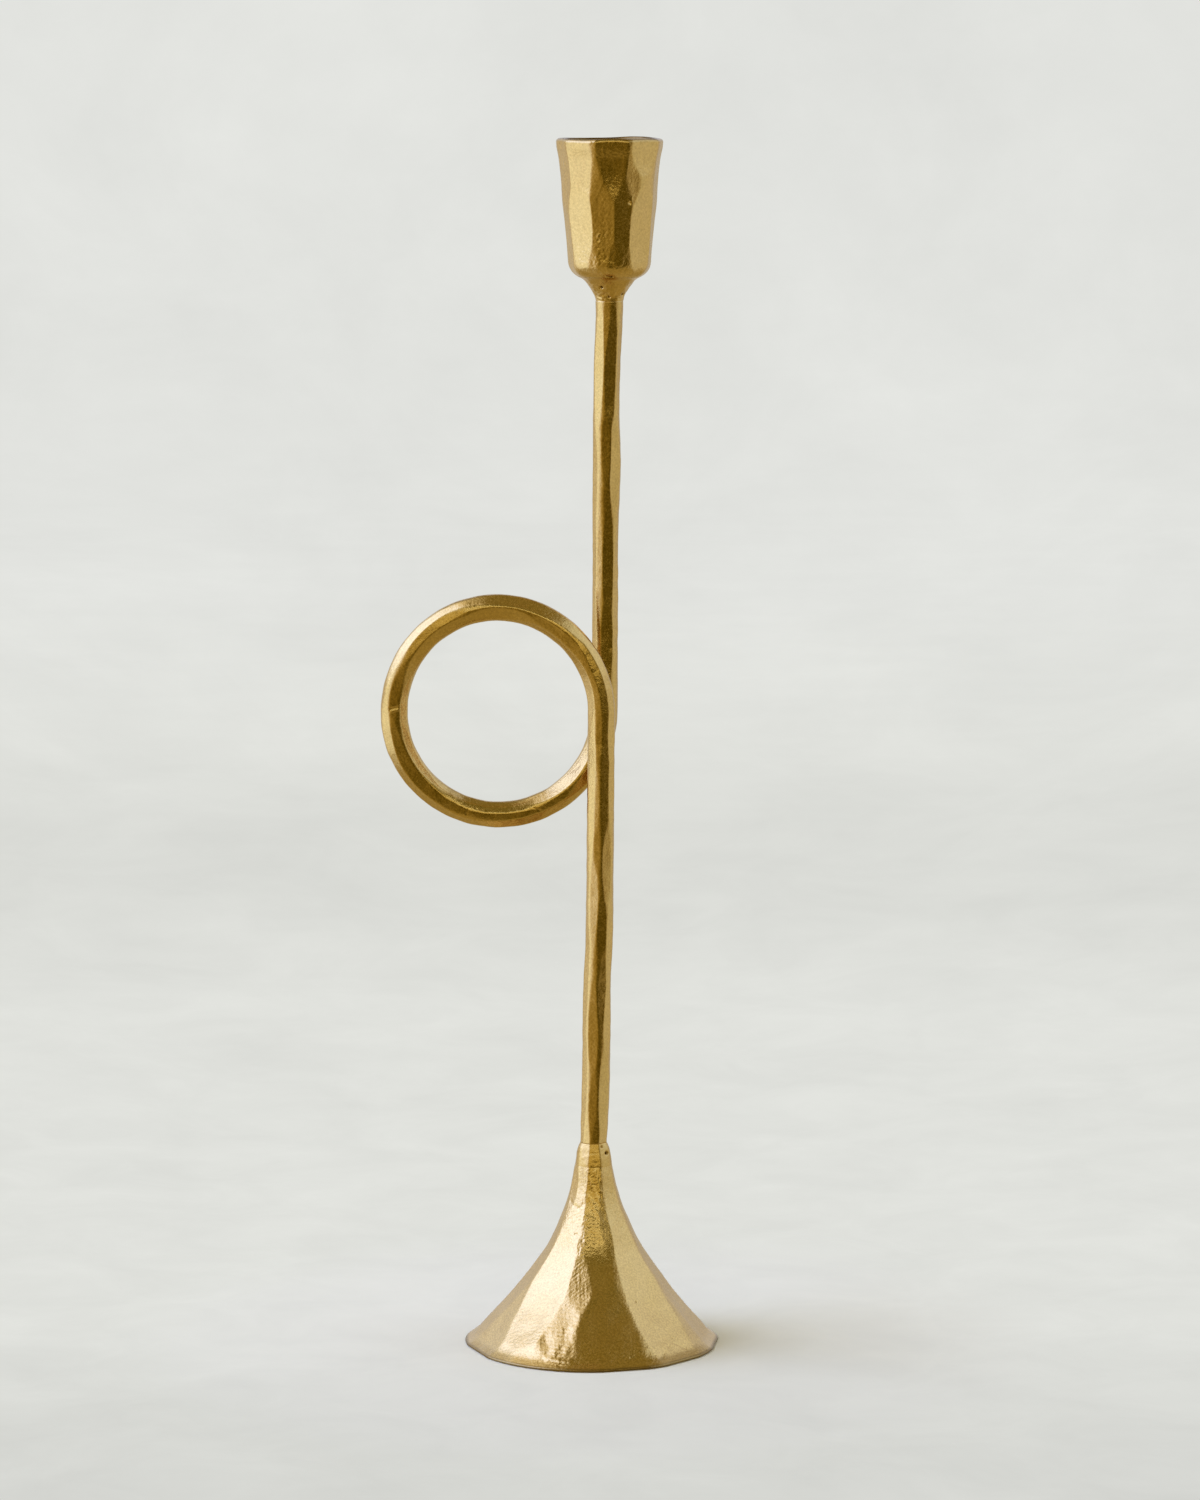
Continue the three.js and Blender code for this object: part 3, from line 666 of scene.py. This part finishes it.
# Marks: both ends as height above the rim and degrees round, half width, depth
FOOT_MARKS = [
    ((38.5, -66), (37.2, -34), 0.5, 0.1), ((37.2, -34), (38.4, -24), 0.5, 0.1),
    ((16, -2), (9, -10), 1.2, -0.2), ((30.8, -30), (29.6, -17), 0.5, 0.14),
    ((8.4, -15.5), (4, -16), 1.3, 0.16), ((6, -11.5), (3.6, -11), 0.8, 0.1),
    ((9.4, -12.6), (2.8, -20.5), 0.7, -0.09), ((2.4, -23), (1.8, -10), 0.5, -0.18),
    ((2.6, 4), (1.9, 9), 0.35, -0.15), ((6, -27), (4, -23), 1.2, 0.16),
    ((7, -38), (3, -34), 2.2, 0.14), ((4, -52), (2.5, -46), 1.8, 0.1),
    ((10, -30), (6, -27), 1.6, 0.1), ((47, 4), (42, 15), 0.5, -0.12),
    ((44.5, -8), (39, 12), 0.45, -0.1), ((40.5, -12), (36, 8), 0.45, -0.1),
    ((2.2, 20), (1.4, 28), 0.5, 0.16), ((4.2, 48), (2.2, 54), 0.35, 0.1),
    ((3.4, 44), (3.4, 44), 0.5, 0.12), ((14.5, 34), (14.5, 34), 0.4, 0.2),
    ((5, 48.5), (11, 48.5), 0.5, 0.04), ((1.6, 36), (2.8, 40), 0.4, 0.1),
]
# Areas with a coarser skin: both ends, half width, how much coarser
FOOT_ROUGH_AREAS = [
    ((34, -4), (46, 6), 3.5, 1), ((31.5, -6), (30.8, 8), 1.6, 1.8), ((8, -15), (3, -15), 2.5, 2.4),
    ((1.8, -22), (1.2, -4), 1.4, 3.5), ((5, -32), (5, -28), 4, 2), ((2.6, 22), (1.4, 32), 1.3, 1),
    ((3, 46), (2, 54), 2, 1.5), ((17, -17), (27, -20), 2.4, 1.3), ((34, -50), (34, -25), 3, 1.6),
    ((20, -6), (14, -4), 2.5, 1.5),
]
FOOT_RIDGE = 0.06
FOOT_GRAIN = [(7, 0.04), (2.6, 0.008)]
FOOT_GRAIN_SEED = 9
FOOT_SPECKLE = [(1.2, 0.006), (0.65, 0.006)]
FOOT_SPECKLE_SEED = 10
# The rim's edge is true, and marks and grain have their full depth from this height up
RIM_TRUE_HEIGHT = 0.6
# How dark the painted shade is along the rim's edge, and the heights between which it ends
RIM_PAINTED_SHADE = 0.7
RIM_PAINTED_SHADE_END = (0.2, 0.8)
FOOT_SIDES = 560
FOOT_RINGS = 300
# Above 1, this crowds the rings towards the rim
FOOT_RING_CROWDING = 1.3
HOLLOW_RINGS = 30


def foot_outside(height):
    """The foot's outer radius at a height above its rim, before the blows."""
    share = (height - FOOT_RIM_HEIGHT) / (FOOT_HEIGHT - FOOT_RIM_HEIGHT)
    return FOOT_NECK_RADIUS + (FOOT_RADIUS - FOOT_NECK_RADIUS) * through(FOOT_FLARE, share)


def foot_middle(height):
    """How far to the right the foot's middle lies at a height above its rim."""
    return FOOT_NECK_SHIFT * through(FOOT_LEAN, height / FOOT_HEIGHT)


def foot_neck_end(degrees):
    """The hammered radius at the top of the foot's neck."""
    height = np.array([[FOOT_HEIGHT]])
    return hammered(foot_outside(height), height, degrees, FOOT_BLOWS, FOOT_RIDGE)


def flared_foot(material):
    """The foot, in rings from its rim up its outside, down its bored neck and down its hollow."""
    degrees = all_round(FOOT_SIDES)
    share = np.linspace(0, 1, FOOT_RINGS) ** FOOT_RING_CROWDING
    share = np.sort(np.append(share, 1 - EDGE_SHARE))
    heights = np.append(0, FOOT_RIM_HEIGHT + (FOOT_HEIGHT - FOOT_RIM_HEIGHT) * share)
    radii = np.append(FOOT_RADIUS, foot_outside(heights[1:]))[:, None]
    outside = hammered(radii, heights[:, None], degrees, FOOT_BLOWS, FOOT_RIDGE)
    depths = marks_on(heights[:, None], degrees, radii, FOOT_MARKS)
    points = level_rings(foot_middle(heights), heights, degrees, outside)
    coarser = 1 + marks_on(heights[:, None], degrees, radii, FOOT_ROUGH_AREAS)
    skin_height = grain(points, FOOT_GRAIN, FOOT_GRAIN_SEED)
    skin_height += coarser * grain(points, FOOT_SPECKLE, FOOT_SPECKLE_SEED)
    outside = outside + smooth(heights, 0, RIM_TRUE_HEIGHT)[:, None] * (skin_height - depths)
    outer = level_rings(foot_middle(heights), FOOT_BOTTOM + heights, degrees, outside)

    ceiling = FOOT_HEIGHT - FOOT_NECK_LENGTH
    hollow_heights = np.linspace(ceiling, RECESS_HEIGHT, HOLLOW_RINGS)
    hollow_radii = np.maximum(foot_outside(hollow_heights) - FOOT_WALL, BORE_RADIUS + HOLLOW_LEDGE)
    inside_heights = np.concatenate([[FOOT_HEIGHT, ceiling], hollow_heights, [RECESS_HEIGHT, 0]])
    inside_radii = np.concatenate([[BORE_RADIUS] * 2, hollow_radii, [RECESS_RADIUS] * 2])
    inner = level_rings(foot_middle(inside_heights), FOOT_BOTTOM + inside_heights, degrees,
                        even_rings(inside_radii, FOOT_SIDES))

    rings = np.concatenate([outer, inner])
    hollow = np.zeros(rings.shape[:2])
    # Painted shade darkens the rim's edge, on top of the oxide in the marks
    rim_painted_shade = RIM_PAINTED_SHADE * (1 - smooth(heights, *RIM_PAINTED_SHADE_END)[:, None])
    hollow[: len(depths)] = np.clip(tarnish(depths) + rim_painted_shade, 0, DARKEST_OXIDE)
    skin("hammered_foot", rings, hollow, True, material, "flared_foot")


# The brazed joints and the felt


# Curves: share of the joint's height, and share of the way from its lower to its upper radius
CUP_COLLAR_CURVE = [(0, 0), (0.1, 0.03), (0.25, 0.09), (0.41, 0.22), (0.59, 0.39), (0.75, 0.54),
                    (0.9, 0.74), (1, 1)]
FOOT_COLLAR_CURVE = [(0, 0), (0.4, 0.24), (0.65, 0.42), (0.8, 0.6), (0.9, 0.79), (1, 1)]
# Marks: both ends as height above the joint's lower end and degrees round, half width, depth
CUP_JOINT_MARKS = [
    ((3.7, -24), (3.7, -24), 0.36, 0.8), ((1.9, 54), (1.7, 60), 0.34, 0.6),
    ((1.2, -5), (1.1, 1), 0.26, 0.45), ((0.6, -60), (0.9, 60), 0.2, 0.03),
    ((2.9, -54), (1.9, -34), 0.3, -0.22), ((1.7, -42), (1.1, -22), 0.25, -0.2),
    ((0.8, -56), (0.5, -30), 0.25, -0.16), ((3.2, -30), (2.4, -20), 0.22, -0.14),
    ((1.2, 40), (0.6, 34), 0.3, -0.1), ((6, -3), (6.1, 3), 0.35, 0.1),
    ((2.6, -40), (1.6, -30), 0.2, 0.1),
]
FOOT_JOINT_MARKS = [
    ((3.4, 56), (3.4, 60), 0.34, 0.8), ((5.2, 38), (5.2, 38), 0.26, 0.45),
    ((0.3, -88), (0.3, -80), 0.35, 0.25), ((3.7, -14), (3.7, 18), 0.2, 0.05),
]
CUP_JOINT_GRAIN = [(3, 0.05), (1.4, 0.03), (0.8, 0.012)]
FOOT_JOINT_GRAIN = [(3, 0.02), (1.3, 0.008)]
JOINT_GRAIN_SEED = 11
# How far the braze stands proud of the metal beside it
CUP_BRAZE_PROUD = 0.03
FOOT_BRAZE_PROUD = 0.02
# How much of the braze's front is dressed straight, its middle and half width in degrees, how
# sharply it ends there, and how its rise curves
CUP_BRAZE_STRAIGHT = 0.15
FOOT_BRAZE_STRAIGHT = 1
STRAIGHT_MIDDLE = 2
STRAIGHT_HALF_WIDTH = 62
STRAIGHT_SHARPNESS = 6
STRAIGHT_RISE = 1.25
COLLAR_RINGS = 44

PAD_SIDES = 180
PAD_UNDERSIDE_RINGS = [8.0, 16.0, 24.0]
PAD_TOP_RING = 12.0


def braze_collar(name, node, material, x, bottom, top, lower_radii, upper_radii, curve, straight,
                 marks, layers):
    """Braze that fills the corner between the bar and what it stands on or carries. The share
    that is dressed straight in front lets the blows run on over it."""
    degrees = all_round(BAR_SIDES)
    share = np.sort(np.append(np.linspace(0, 1, COLLAR_RINGS), [EDGE_SHARE, 1 - EDGE_SHARE]))
    heights = (top - bottom) * share
    from_front = turned_from(degrees, STRAIGHT_MIDDLE) / STRAIGHT_HALF_WIDTH
    in_front = np.clip(1 - from_front**STRAIGHT_SHARPNESS, 0, 1) * straight
    curved, straight_rise = through(curve, share)[:, None], share[:, None] ** STRAIGHT_RISE
    rise = (1 - in_front) * curved + in_front * straight_rise
    outside = lower_radii * (1 - rise) + upper_radii * rise
    depths = marks_on(heights[:, None], degrees, outside, marks)
    points = level_rings(x, bottom + heights, degrees, outside)
    settled = np.sin(math.pi * share)[:, None] ** 0.5
    outside = outside + settled * grain(points, layers, JOINT_GRAIN_SEED) - depths
    heights = bottom + np.concatenate([[0], heights, [top - bottom]])
    bore = even_rings([BORE_RADIUS], BAR_SIDES)
    rings = level_rings(x, heights, degrees, np.concatenate([bore, outside, bore]))
    hollow = np.zeros(rings.shape[:2])
    hollow[1:-1] = tarnish(depths)
    skin(name, rings, hollow, True, material, node)


def felt_pad(material):
    """The felt disc, in rings out over its underside, up its edge and in over its top."""
    heights = np.array([0.0] * (len(PAD_UNDERSIDE_RINGS) + 1) + [PAD_THICKNESS] * 2)
    radii = even_rings([*PAD_UNDERSIDE_RINGS, PAD_RADIUS, PAD_RADIUS, PAD_TOP_RING], PAD_SIDES)
    rings = level_rings(0.0, heights, all_round(PAD_SIDES), radii)
    hollow = np.zeros(rings.shape[:2])
    skin("felt_pad", rings, hollow, False, material, "felt_pad")


# Cast, hammered and wiped satin: even gold with a soft speckle
cup_brass = hammered_brass(
    "cast_brass_hammered_satin", tone="#DBBC7F", deep_tone="#D2B06D", roughness=0.2,
    grain_mm=0.6, grain_height_mm=0.05, mottling=0.19)
# Cast, hammered and rubbed: the same gold with a finer, livelier sparkle
foot_brass = hammered_brass(
    "cast_brass_hammered_and_rubbed", tone="#DBBC7F", deep_tone="#D4B270", roughness=0.2,
    grain_mm=0.5, grain_height_mm=0.055, mottling=0.22)
# Forged, hammered and wiped satin: a shade deeper than the castings
forged_brass = hammered_brass(
    "forged_brass_hammered_satin", tone="#D9BA7B", deep_tone="#CFAC67", roughness=0.2,
    grain_mm=0.55, grain_height_mm=0.05, mottling=0.2)
# Brazed and filed: the deepest gold, and slightly duller
brazed_brass = hammered_brass(
    "brazed_brass_filed", tone="#D8B877", deep_tone="#CAA660", roughness=0.22,
    grain_mm=0.6, grain_height_mm=0.05, mottling=0.15)

bar_foot_end, bar_cup_end = looped_bar(forged_brass)
candle_cup(cup_brass)
flared_foot(foot_brass)
braze_collar("cup_braze", "cup_braze_collar", brazed_brass, CUP_X, UPPER_SHOULDER, CUP_UNDERSIDE,
             bar_cup_end + CUP_BRAZE_PROUD, CUP_UNDERSIDE_RADIUS, CUP_COLLAR_CURVE,
             CUP_BRAZE_STRAIGHT, CUP_JOINT_MARKS, CUP_JOINT_GRAIN)
braze_collar("foot_braze", "foot_braze_collar", brazed_brass, FOOT_NECK_SHIFT, FOOT_TOP,
             LOWER_SHOULDER, foot_neck_end(all_round(BAR_SIDES)) + FOOT_BRAZE_PROUD,
             bar_foot_end + FOOT_BRAZE_PROUD, FOOT_COLLAR_CURVE, FOOT_BRAZE_STRAIGHT,
             FOOT_JOINT_MARKS, FOOT_JOINT_GRAIN)
felt_pad(pressed_felt())


# The studio, with its sizes in metres


# Between these distances the table, which takes the shadow, fades to the backdrop
SHADOW_FADE = (0.075, 0.135)
FLOOR_RINGS = [0.002, 0.05, 0.1, SHADOW_FADE[1]]
# The backdrop lies flat up to the bend, and bends up into the wall
BACKDROP_RING = 1.2
BEND_START = 2.2
BEND_RADIUS = 1.0
BEND_RINGS = 16
WALL_TOP = 4.0
STUDIO_SIDES = 96

LIMEWASH_TONES = ("#F6F2E4", "#EFEBDD")
# The plaster's tone by distance from the object, with painted shade where table and wall meet
PLASTER_TONES_AND_PAINTED_SHADE = [(0, "#E0E1DC"), (0.5, "#E0E1DC"), (0.7, "#DADBD6"), (0.86, "#DADBD6"),
                 (1.15, "#E0E1DC"), (1.8, "#E2E3DF"), (3.5, "#E1E2DE")]
# Painted shade towards the table's near edge: from where, up to where, and how bright it is there
PAINTED_SHADE_NEAR_EDGE = (0.05, -0.13)
PAINTED_SHADE_NEAR_EDGE_TONE = 0.9
# Clouds in the limewash, and blotches of its trowelling, which grow with the distance from a
# point above the object. The depths say how much each changes the tone.
CLOUDS_IN_A_METRE = 14
CLOUD_DEPTH = 0.012
BLOTCH_SCALE = 13
BLOTCH_CENTRE = (0, 0, 0.4)
BLOTCH_DEPTH = 0.035


def limewashed_plaster():
    """Limewash on table and wall: pale, matt and faintly clouded and blotched, with painted shade
    towards the table's near edge. It takes the object's shadow close by, and further out it fades
    to the tone of the backdrop, which has painted shade where table and wall meet."""
    material, add = empty_material("limewashed_plaster")
    place = add("TexCoord").outputs["Object"]
    distance = add("VectorMath", links={0: place}, operation="LENGTH").outputs["Value"]
    fade = add("MapRange", {"From Min": SHADOW_FADE[0], "From Max": SHADOW_FADE[1]},
               {"Value": distance}, interpolation_type="SMOOTHSTEP")
    depth = add("SeparateXYZ", links={0: place}).outputs["Y"]
    # Painted shade darkens the table towards its near edge
    brightness = add("MapRange",
                     {"From Min": PAINTED_SHADE_NEAR_EDGE[0], "From Max": PAINTED_SHADE_NEAR_EDGE[1], "To Min": 1,
                      "To Max": PAINTED_SHADE_NEAR_EDGE_TONE},
                     {"Value": depth}, interpolation_type="SMOOTHSTEP").outputs["Result"]
    clouds = add("TexNoise", {"Scale": CLOUDS_IN_A_METRE, "Detail": 8, "Roughness": 0.65},
                 {"Vector": place}).outputs["Fac"]
    from_centre = add("VectorMath", {1: BLOTCH_CENTRE}, {0: place}, operation="SUBTRACT")
    from_centre = add("VectorMath", links={0: from_centre.outputs[0]}, operation="NORMALIZE")
    blotches = add("TexNoise",
                   {"Scale": BLOTCH_SCALE, "Detail": 10, "Roughness": 0.62, "Distortion": 0.5},
                   {"Vector": from_centre.outputs[0]}).outputs["Fac"]
    for pattern, change in ((clouds, CLOUD_DEPTH), (blotches, BLOTCH_DEPTH)):
        mottle = add("MapRange",
                     {"From Min": NOISE_LOW, "From Max": NOISE_HIGH, "To Min": 1 - change,
                      "To Max": 1 + change}, {"Value": pattern}).outputs["Result"]
        brightness = add("Math", links={0: brightness, 1: mottle}, operation="MULTIPLY").outputs[0]
    wash = add("Mix", {MIX_FROM: linear(LIMEWASH_TONES[0]), MIX_TO: linear(LIMEWASH_TONES[1])},
               {MIX_SHARE: clouds}, data_type="RGBA")
    wash = add("VectorMath", links={0: wash.outputs[MIX_OUT], "Scale": brightness},
               operation="SCALE")
    board = add("BsdfDiffuse", links={"Color": wash.outputs[0]})
    # The backdrop's tone by distance, with painted shade where table and wall meet
    furthest = PLASTER_TONES_AND_PAINTED_SHADE[-1][0]
    share = add("Math", {1: furthest}, {0: distance}, operation="DIVIDE")
    tone = ramp(add, [(far / furthest, tone) for far, tone in PLASTER_TONES_AND_PAINTED_SHADE], share.outputs[0])
    even = add("Emission", links={"Color": tone, "Strength": brightness})
    both = add("MixShader", links={
        0: fade.outputs["Result"], 1: board.outputs["BSDF"], 2: even.outputs["Emission"]})
    add("OutputMaterial", links={"Surface": both.outputs["Shader"]})
    return material


def disc(name, radii, heights, material):
    """A floor or backdrop that is the same all the way round."""
    angles = np.arange(STUDIO_SIDES) * 2 * math.pi / STUDIO_SIDES
    across, along = np.outer(radii, np.cos(angles)), np.outer(radii, np.sin(angles))
    rings = np.stack([across, along, even_rings(heights, STUDIO_SIDES)], axis=2)
    faces = []
    for inner in range(0, (len(radii) - 1) * STUDIO_SIDES, STUDIO_SIDES):
        outer = inner + STUDIO_SIDES
        for k in range(STUDIO_SIDES):
            after = (k + 1) % STUDIO_SIDES
            faces.append([inner + k, outer + k, outer + after, inner + after])
    piece = mesh_piece(name, rings.reshape(-1, 3), faces, material)
    return piece


def table_and_wall():
    """The table takes the shadow, and the backdrop is only there to be seen: neither shows in
    the metal, which reflects the room."""
    plaster = limewashed_plaster()
    floor = disc("floor", FLOOR_RINGS, [0.0] * len(FLOOR_RINGS), plaster)
    floor.visible_glossy = False
    bend = np.radians(np.linspace(0, 90, BEND_RINGS))
    radii = np.concatenate([[SHADOW_FADE[1], BACKDROP_RING], BEND_START + BEND_RADIUS * np.sin(bend),
                            [BEND_START + BEND_RADIUS]])
    heights = np.concatenate([[0, 0], BEND_RADIUS - BEND_RADIUS * np.cos(bend), [WALL_TOP]])
    backdrop = disc("backdrop", radii, heights, plaster)
    backdrop.visible_diffuse = backdrop.visible_glossy = backdrop.visible_transmission = False
    backdrop.visible_shadow = False


# The room's colours in the metal, round the table in degrees from the front, 90 to the right
ROOM_ROUND_TABLE = [
    (-180, "#ACA8A1"), (-150, "#AEACA7"), (-118, "#B9B6AE"), (-107, "#D0D6E4"), (-98, "#E3EEFF"),
    (-75, "#E3EEFF"), (-60, "#D3D7EC"), (-46, "#AFA27E"), (-32, "#92814A"), (-20, "#827036"),
    (-8, "#6A5A20"), (2, "#584A10"), (12, "#4A3F08"), (42, "#4A3F08"), (48, "#5C5124"),
    (54, "#8B8060"), (63, "#92886A"), (74, "#AEAE9F"), (115, "#B0ADA0"), (135, "#A09C94"),
    (165, "#A4A19A"), (180, "#ACA8A1"),
]
# The room above eye level in front of the table, from straight down, -1, to straight up, 1
ROOM_IN_FRONT = [
    (-1, "#D6C581"), (0.15, "#D2C17C"), (0.23, "#C1B47E"), (0.34, "#A99F74"), (0.43, "#A69D76"),
    (0.455, "#FFFFE6"), (0.52, "#FFFFE6"), (0.55, "#8C8244"), (0.58, "#6A5F2C"), (0.65, "#5C5222"),
    (0.75, "#68602C"), (1, "#6C6228"),
]
# Its middle in degrees from the front, and its soft sides as cosines of how far round they lie
FRONT_MIDDLE = 4
FRONT_SIDES = (0.8, 0.88)
# How much brighter and cooler the walls get, in red, green and blue, between these heights
HIGH_UP = (1.32, 1.5, 2.1)
HIGH_UP_FROM_TO = (0.02, 0.38)
# Soft edges in the room: along X, Y or Z of a direction, from where, up to where, and to what
# share of the tone
ROOM_EDGES = {
    "above_eye_level": ("Z", 0.05, 0.15, 1),
    "behind": ("Y", 0.3, 0.75, 1),
    "high": ("Z", 0.3, 0.6, 1),
    "not_left": ("X", -0.6, -0.35, 1),
    "overhead": ("Z", 0.72, 0.85, 1),
    "right": ("X", -0.38, -0.2, 1),
    "underneath": ("Z", -0.33, -0.65, 0.9),
    "above_sill": ("Z", 0, 0.42, 1),
    "below_window_top": ("Z", 0.93, 0.74, 1),
}
HIGH_BEHIND_TONE = "#7D7458"
CEILING_LEFT_TONE = "#D6D2C4"
CEILING_RIGHT_TONE = "#746838"
UNDERNEATH_TONE = "#8C7D4C"
# The window on the left: how far round it lies, how far its light reaches to each side, in
# degrees, and its light as red, green and blue, where 1 is white
WINDOW_TURN = -84
WINDOW_REACH = (23, 44)
WINDOW_LIGHT = (1.1, 1.34, 2.55)
ROOM_STRENGTH = 1.6


def room_in_the_metal():
    """The room as a world: walls all round, a lit front, a ceiling, shade behind and underneath,
    and the window, whose full light only the gloss shows."""
    world = bpy.data.worlds.new("studio")
    world.use_nodes = True
    world.node_tree.nodes.clear()
    add = functools.partial(add_node, world.node_tree)
    way = add("TexCoord").outputs["Generated"]
    parts = add("SeparateXYZ", links={0: way}).outputs
    forward = add("Math", {1: -1}, {0: parts["Y"]}, operation="MULTIPLY")
    turn = add("Math", links={0: parts["X"], 1: forward.outputs[0]},
               operation="ARCTAN2").outputs[0]
    edges = {
        name: add("MapRange", {"From Min": start, "From Max": end, "To Max": most},
                  {"Value": parts[axis]}, interpolation_type="SMOOTHSTEP").outputs["Result"]
        for name, (axis, start, end, most) in ROOM_EDGES.items()
    }

    round_table = add("MapRange", {"From Min": -math.pi, "From Max": math.pi}, {"Value": turn})
    tones = [((degrees + 180) / 360, tone) for degrees, tone in ROOM_ROUND_TABLE]
    walls = ramp(add, tones, round_table.outputs["Result"])
    cooler = [
        add("MapRange",
            {"From Min": HIGH_UP_FROM_TO[0], "From Max": HIGH_UP_FROM_TO[1], "To Min": 1,
             "To Max": most}, {"Value": parts["Z"]}).outputs["Result"]
        for most in HIGH_UP
    ]
    daylight = add("CombineXYZ", links=dict(enumerate(cooler))).outputs["Vector"]
    walls = add("VectorMath", links={0: walls, 1: daylight}, operation="MULTIPLY").outputs[0]

    upwards = add("MapRange", {"From Min": -1, "From Max": 1}, {"Value": parts["Z"]})
    tones = [((rise + 1) / 2, tone) for rise, tone in ROOM_IN_FRONT]
    front = ramp(add, tones, upwards.outputs["Result"])
    level = add("VectorMath", {1: (1, 1, 0)}, {0: way}, operation="MULTIPLY")
    level = add("VectorMath", links={0: level.outputs[0]}, operation="NORMALIZE")
    front_way = (math.sin(math.radians(FRONT_MIDDLE)), -math.cos(math.radians(FRONT_MIDDLE)), 0)
    facing = add("VectorMath", {1: front_way}, {0: level.outputs[0]},
                 operation="DOT_PRODUCT").outputs["Value"]
    in_front = add("MapRange", {"From Min": FRONT_SIDES[0], "From Max": FRONT_SIDES[1]},
                   {"Value": facing}, interpolation_type="SMOOTHSTEP").outputs["Result"]

    ceiling = add("Mix",
                  {MIX_FROM: linear(CEILING_LEFT_TONE), MIX_TO: linear(CEILING_RIGHT_TONE)},
                  {MIX_SHARE: edges["right"]}, data_type="RGBA").outputs[MIX_OUT]

    past_window = add("Math", {1: math.radians(WINDOW_TURN)}, {0: turn}, operation="SUBTRACT")
    past_window = add("Math", links={0: past_window.outputs[0]}, operation="ABSOLUTE")
    inner, outer = [math.radians(degrees) for degrees in WINDOW_REACH]
    beside_window = add("MapRange", {"From Min": outer, "From Max": inner},
                        {"Value": past_window.outputs[0]},
                        interpolation_type="SMOOTHSTEP").outputs["Result"]
    in_gloss = add("LightPath").outputs["Is Glossy Ray"]

    shares = {
        "high_behind": [edges["behind"], edges["high"], edges["not_left"]],
        "lit_front": [in_front, edges["above_eye_level"]],
        "window": [in_gloss, edges["above_sill"], edges["below_window_top"], beside_window],
    }
    for name, (share, *others) in shares.items():
        for other in others:
            share = add("Math", links={0: share, 1: other}, operation="MULTIPLY").outputs[0]
        shares[name] = share

    room = walls
    for share, tone, tone_source in (
        (shares["high_behind"], {MIX_TO: linear(HIGH_BEHIND_TONE)}, {}),
        (shares["lit_front"], {}, {MIX_TO: front}),
        (edges["overhead"], {}, {MIX_TO: ceiling}),
        (edges["underneath"], {MIX_TO: linear(UNDERNEATH_TONE)}, {}),
        (shares["window"], {MIX_TO: (*WINDOW_LIGHT, 1)}, {}),
    ):
        room = add("Mix", tone, {MIX_SHARE: share, MIX_FROM: room, **tone_source},
                   data_type="RGBA").outputs[MIX_OUT]
    light = add("Background", {"Strength": ROOM_STRENGTH}, {"Color": room})
    add("OutputWorld", links={"Surface": light.outputs["Background"]})
    bpy.context.scene.world = world


# The window as a lamp, which throws the shadow: its place and size in metres, how many degrees
# it is turned up from looking straight down, its tone, and its power for each square metre
LAMP_PLACE = (-1.53, 0, 0.85)
LAMP_SIZE = (1.5, 1.14)
LAMP_TURN_UP = 61
LAMP_TONE = "#DCE7FF"
LAMP_POWER = 3.4 * math.pi


def window_lamp():
    light = bpy.data.lights.new("window", "AREA")
    light.shape = "RECTANGLE"
    light.size, light.size_y = LAMP_SIZE
    light.energy = LAMP_POWER * LAMP_SIZE[0] * LAMP_SIZE[1]
    light.color = linear(LAMP_TONE)[:3]
    lamp = bpy.data.objects.new("window", light)
    lamp.location = LAMP_PLACE
    lamp.rotation_euler = (math.radians(LAMP_TURN_UP), 0, math.radians(-90))
    lamp.visible_glossy = False
    bpy.context.scene.collection.objects.link(lamp)


table_and_wall()
room_in_the_metal()
window_lamp()
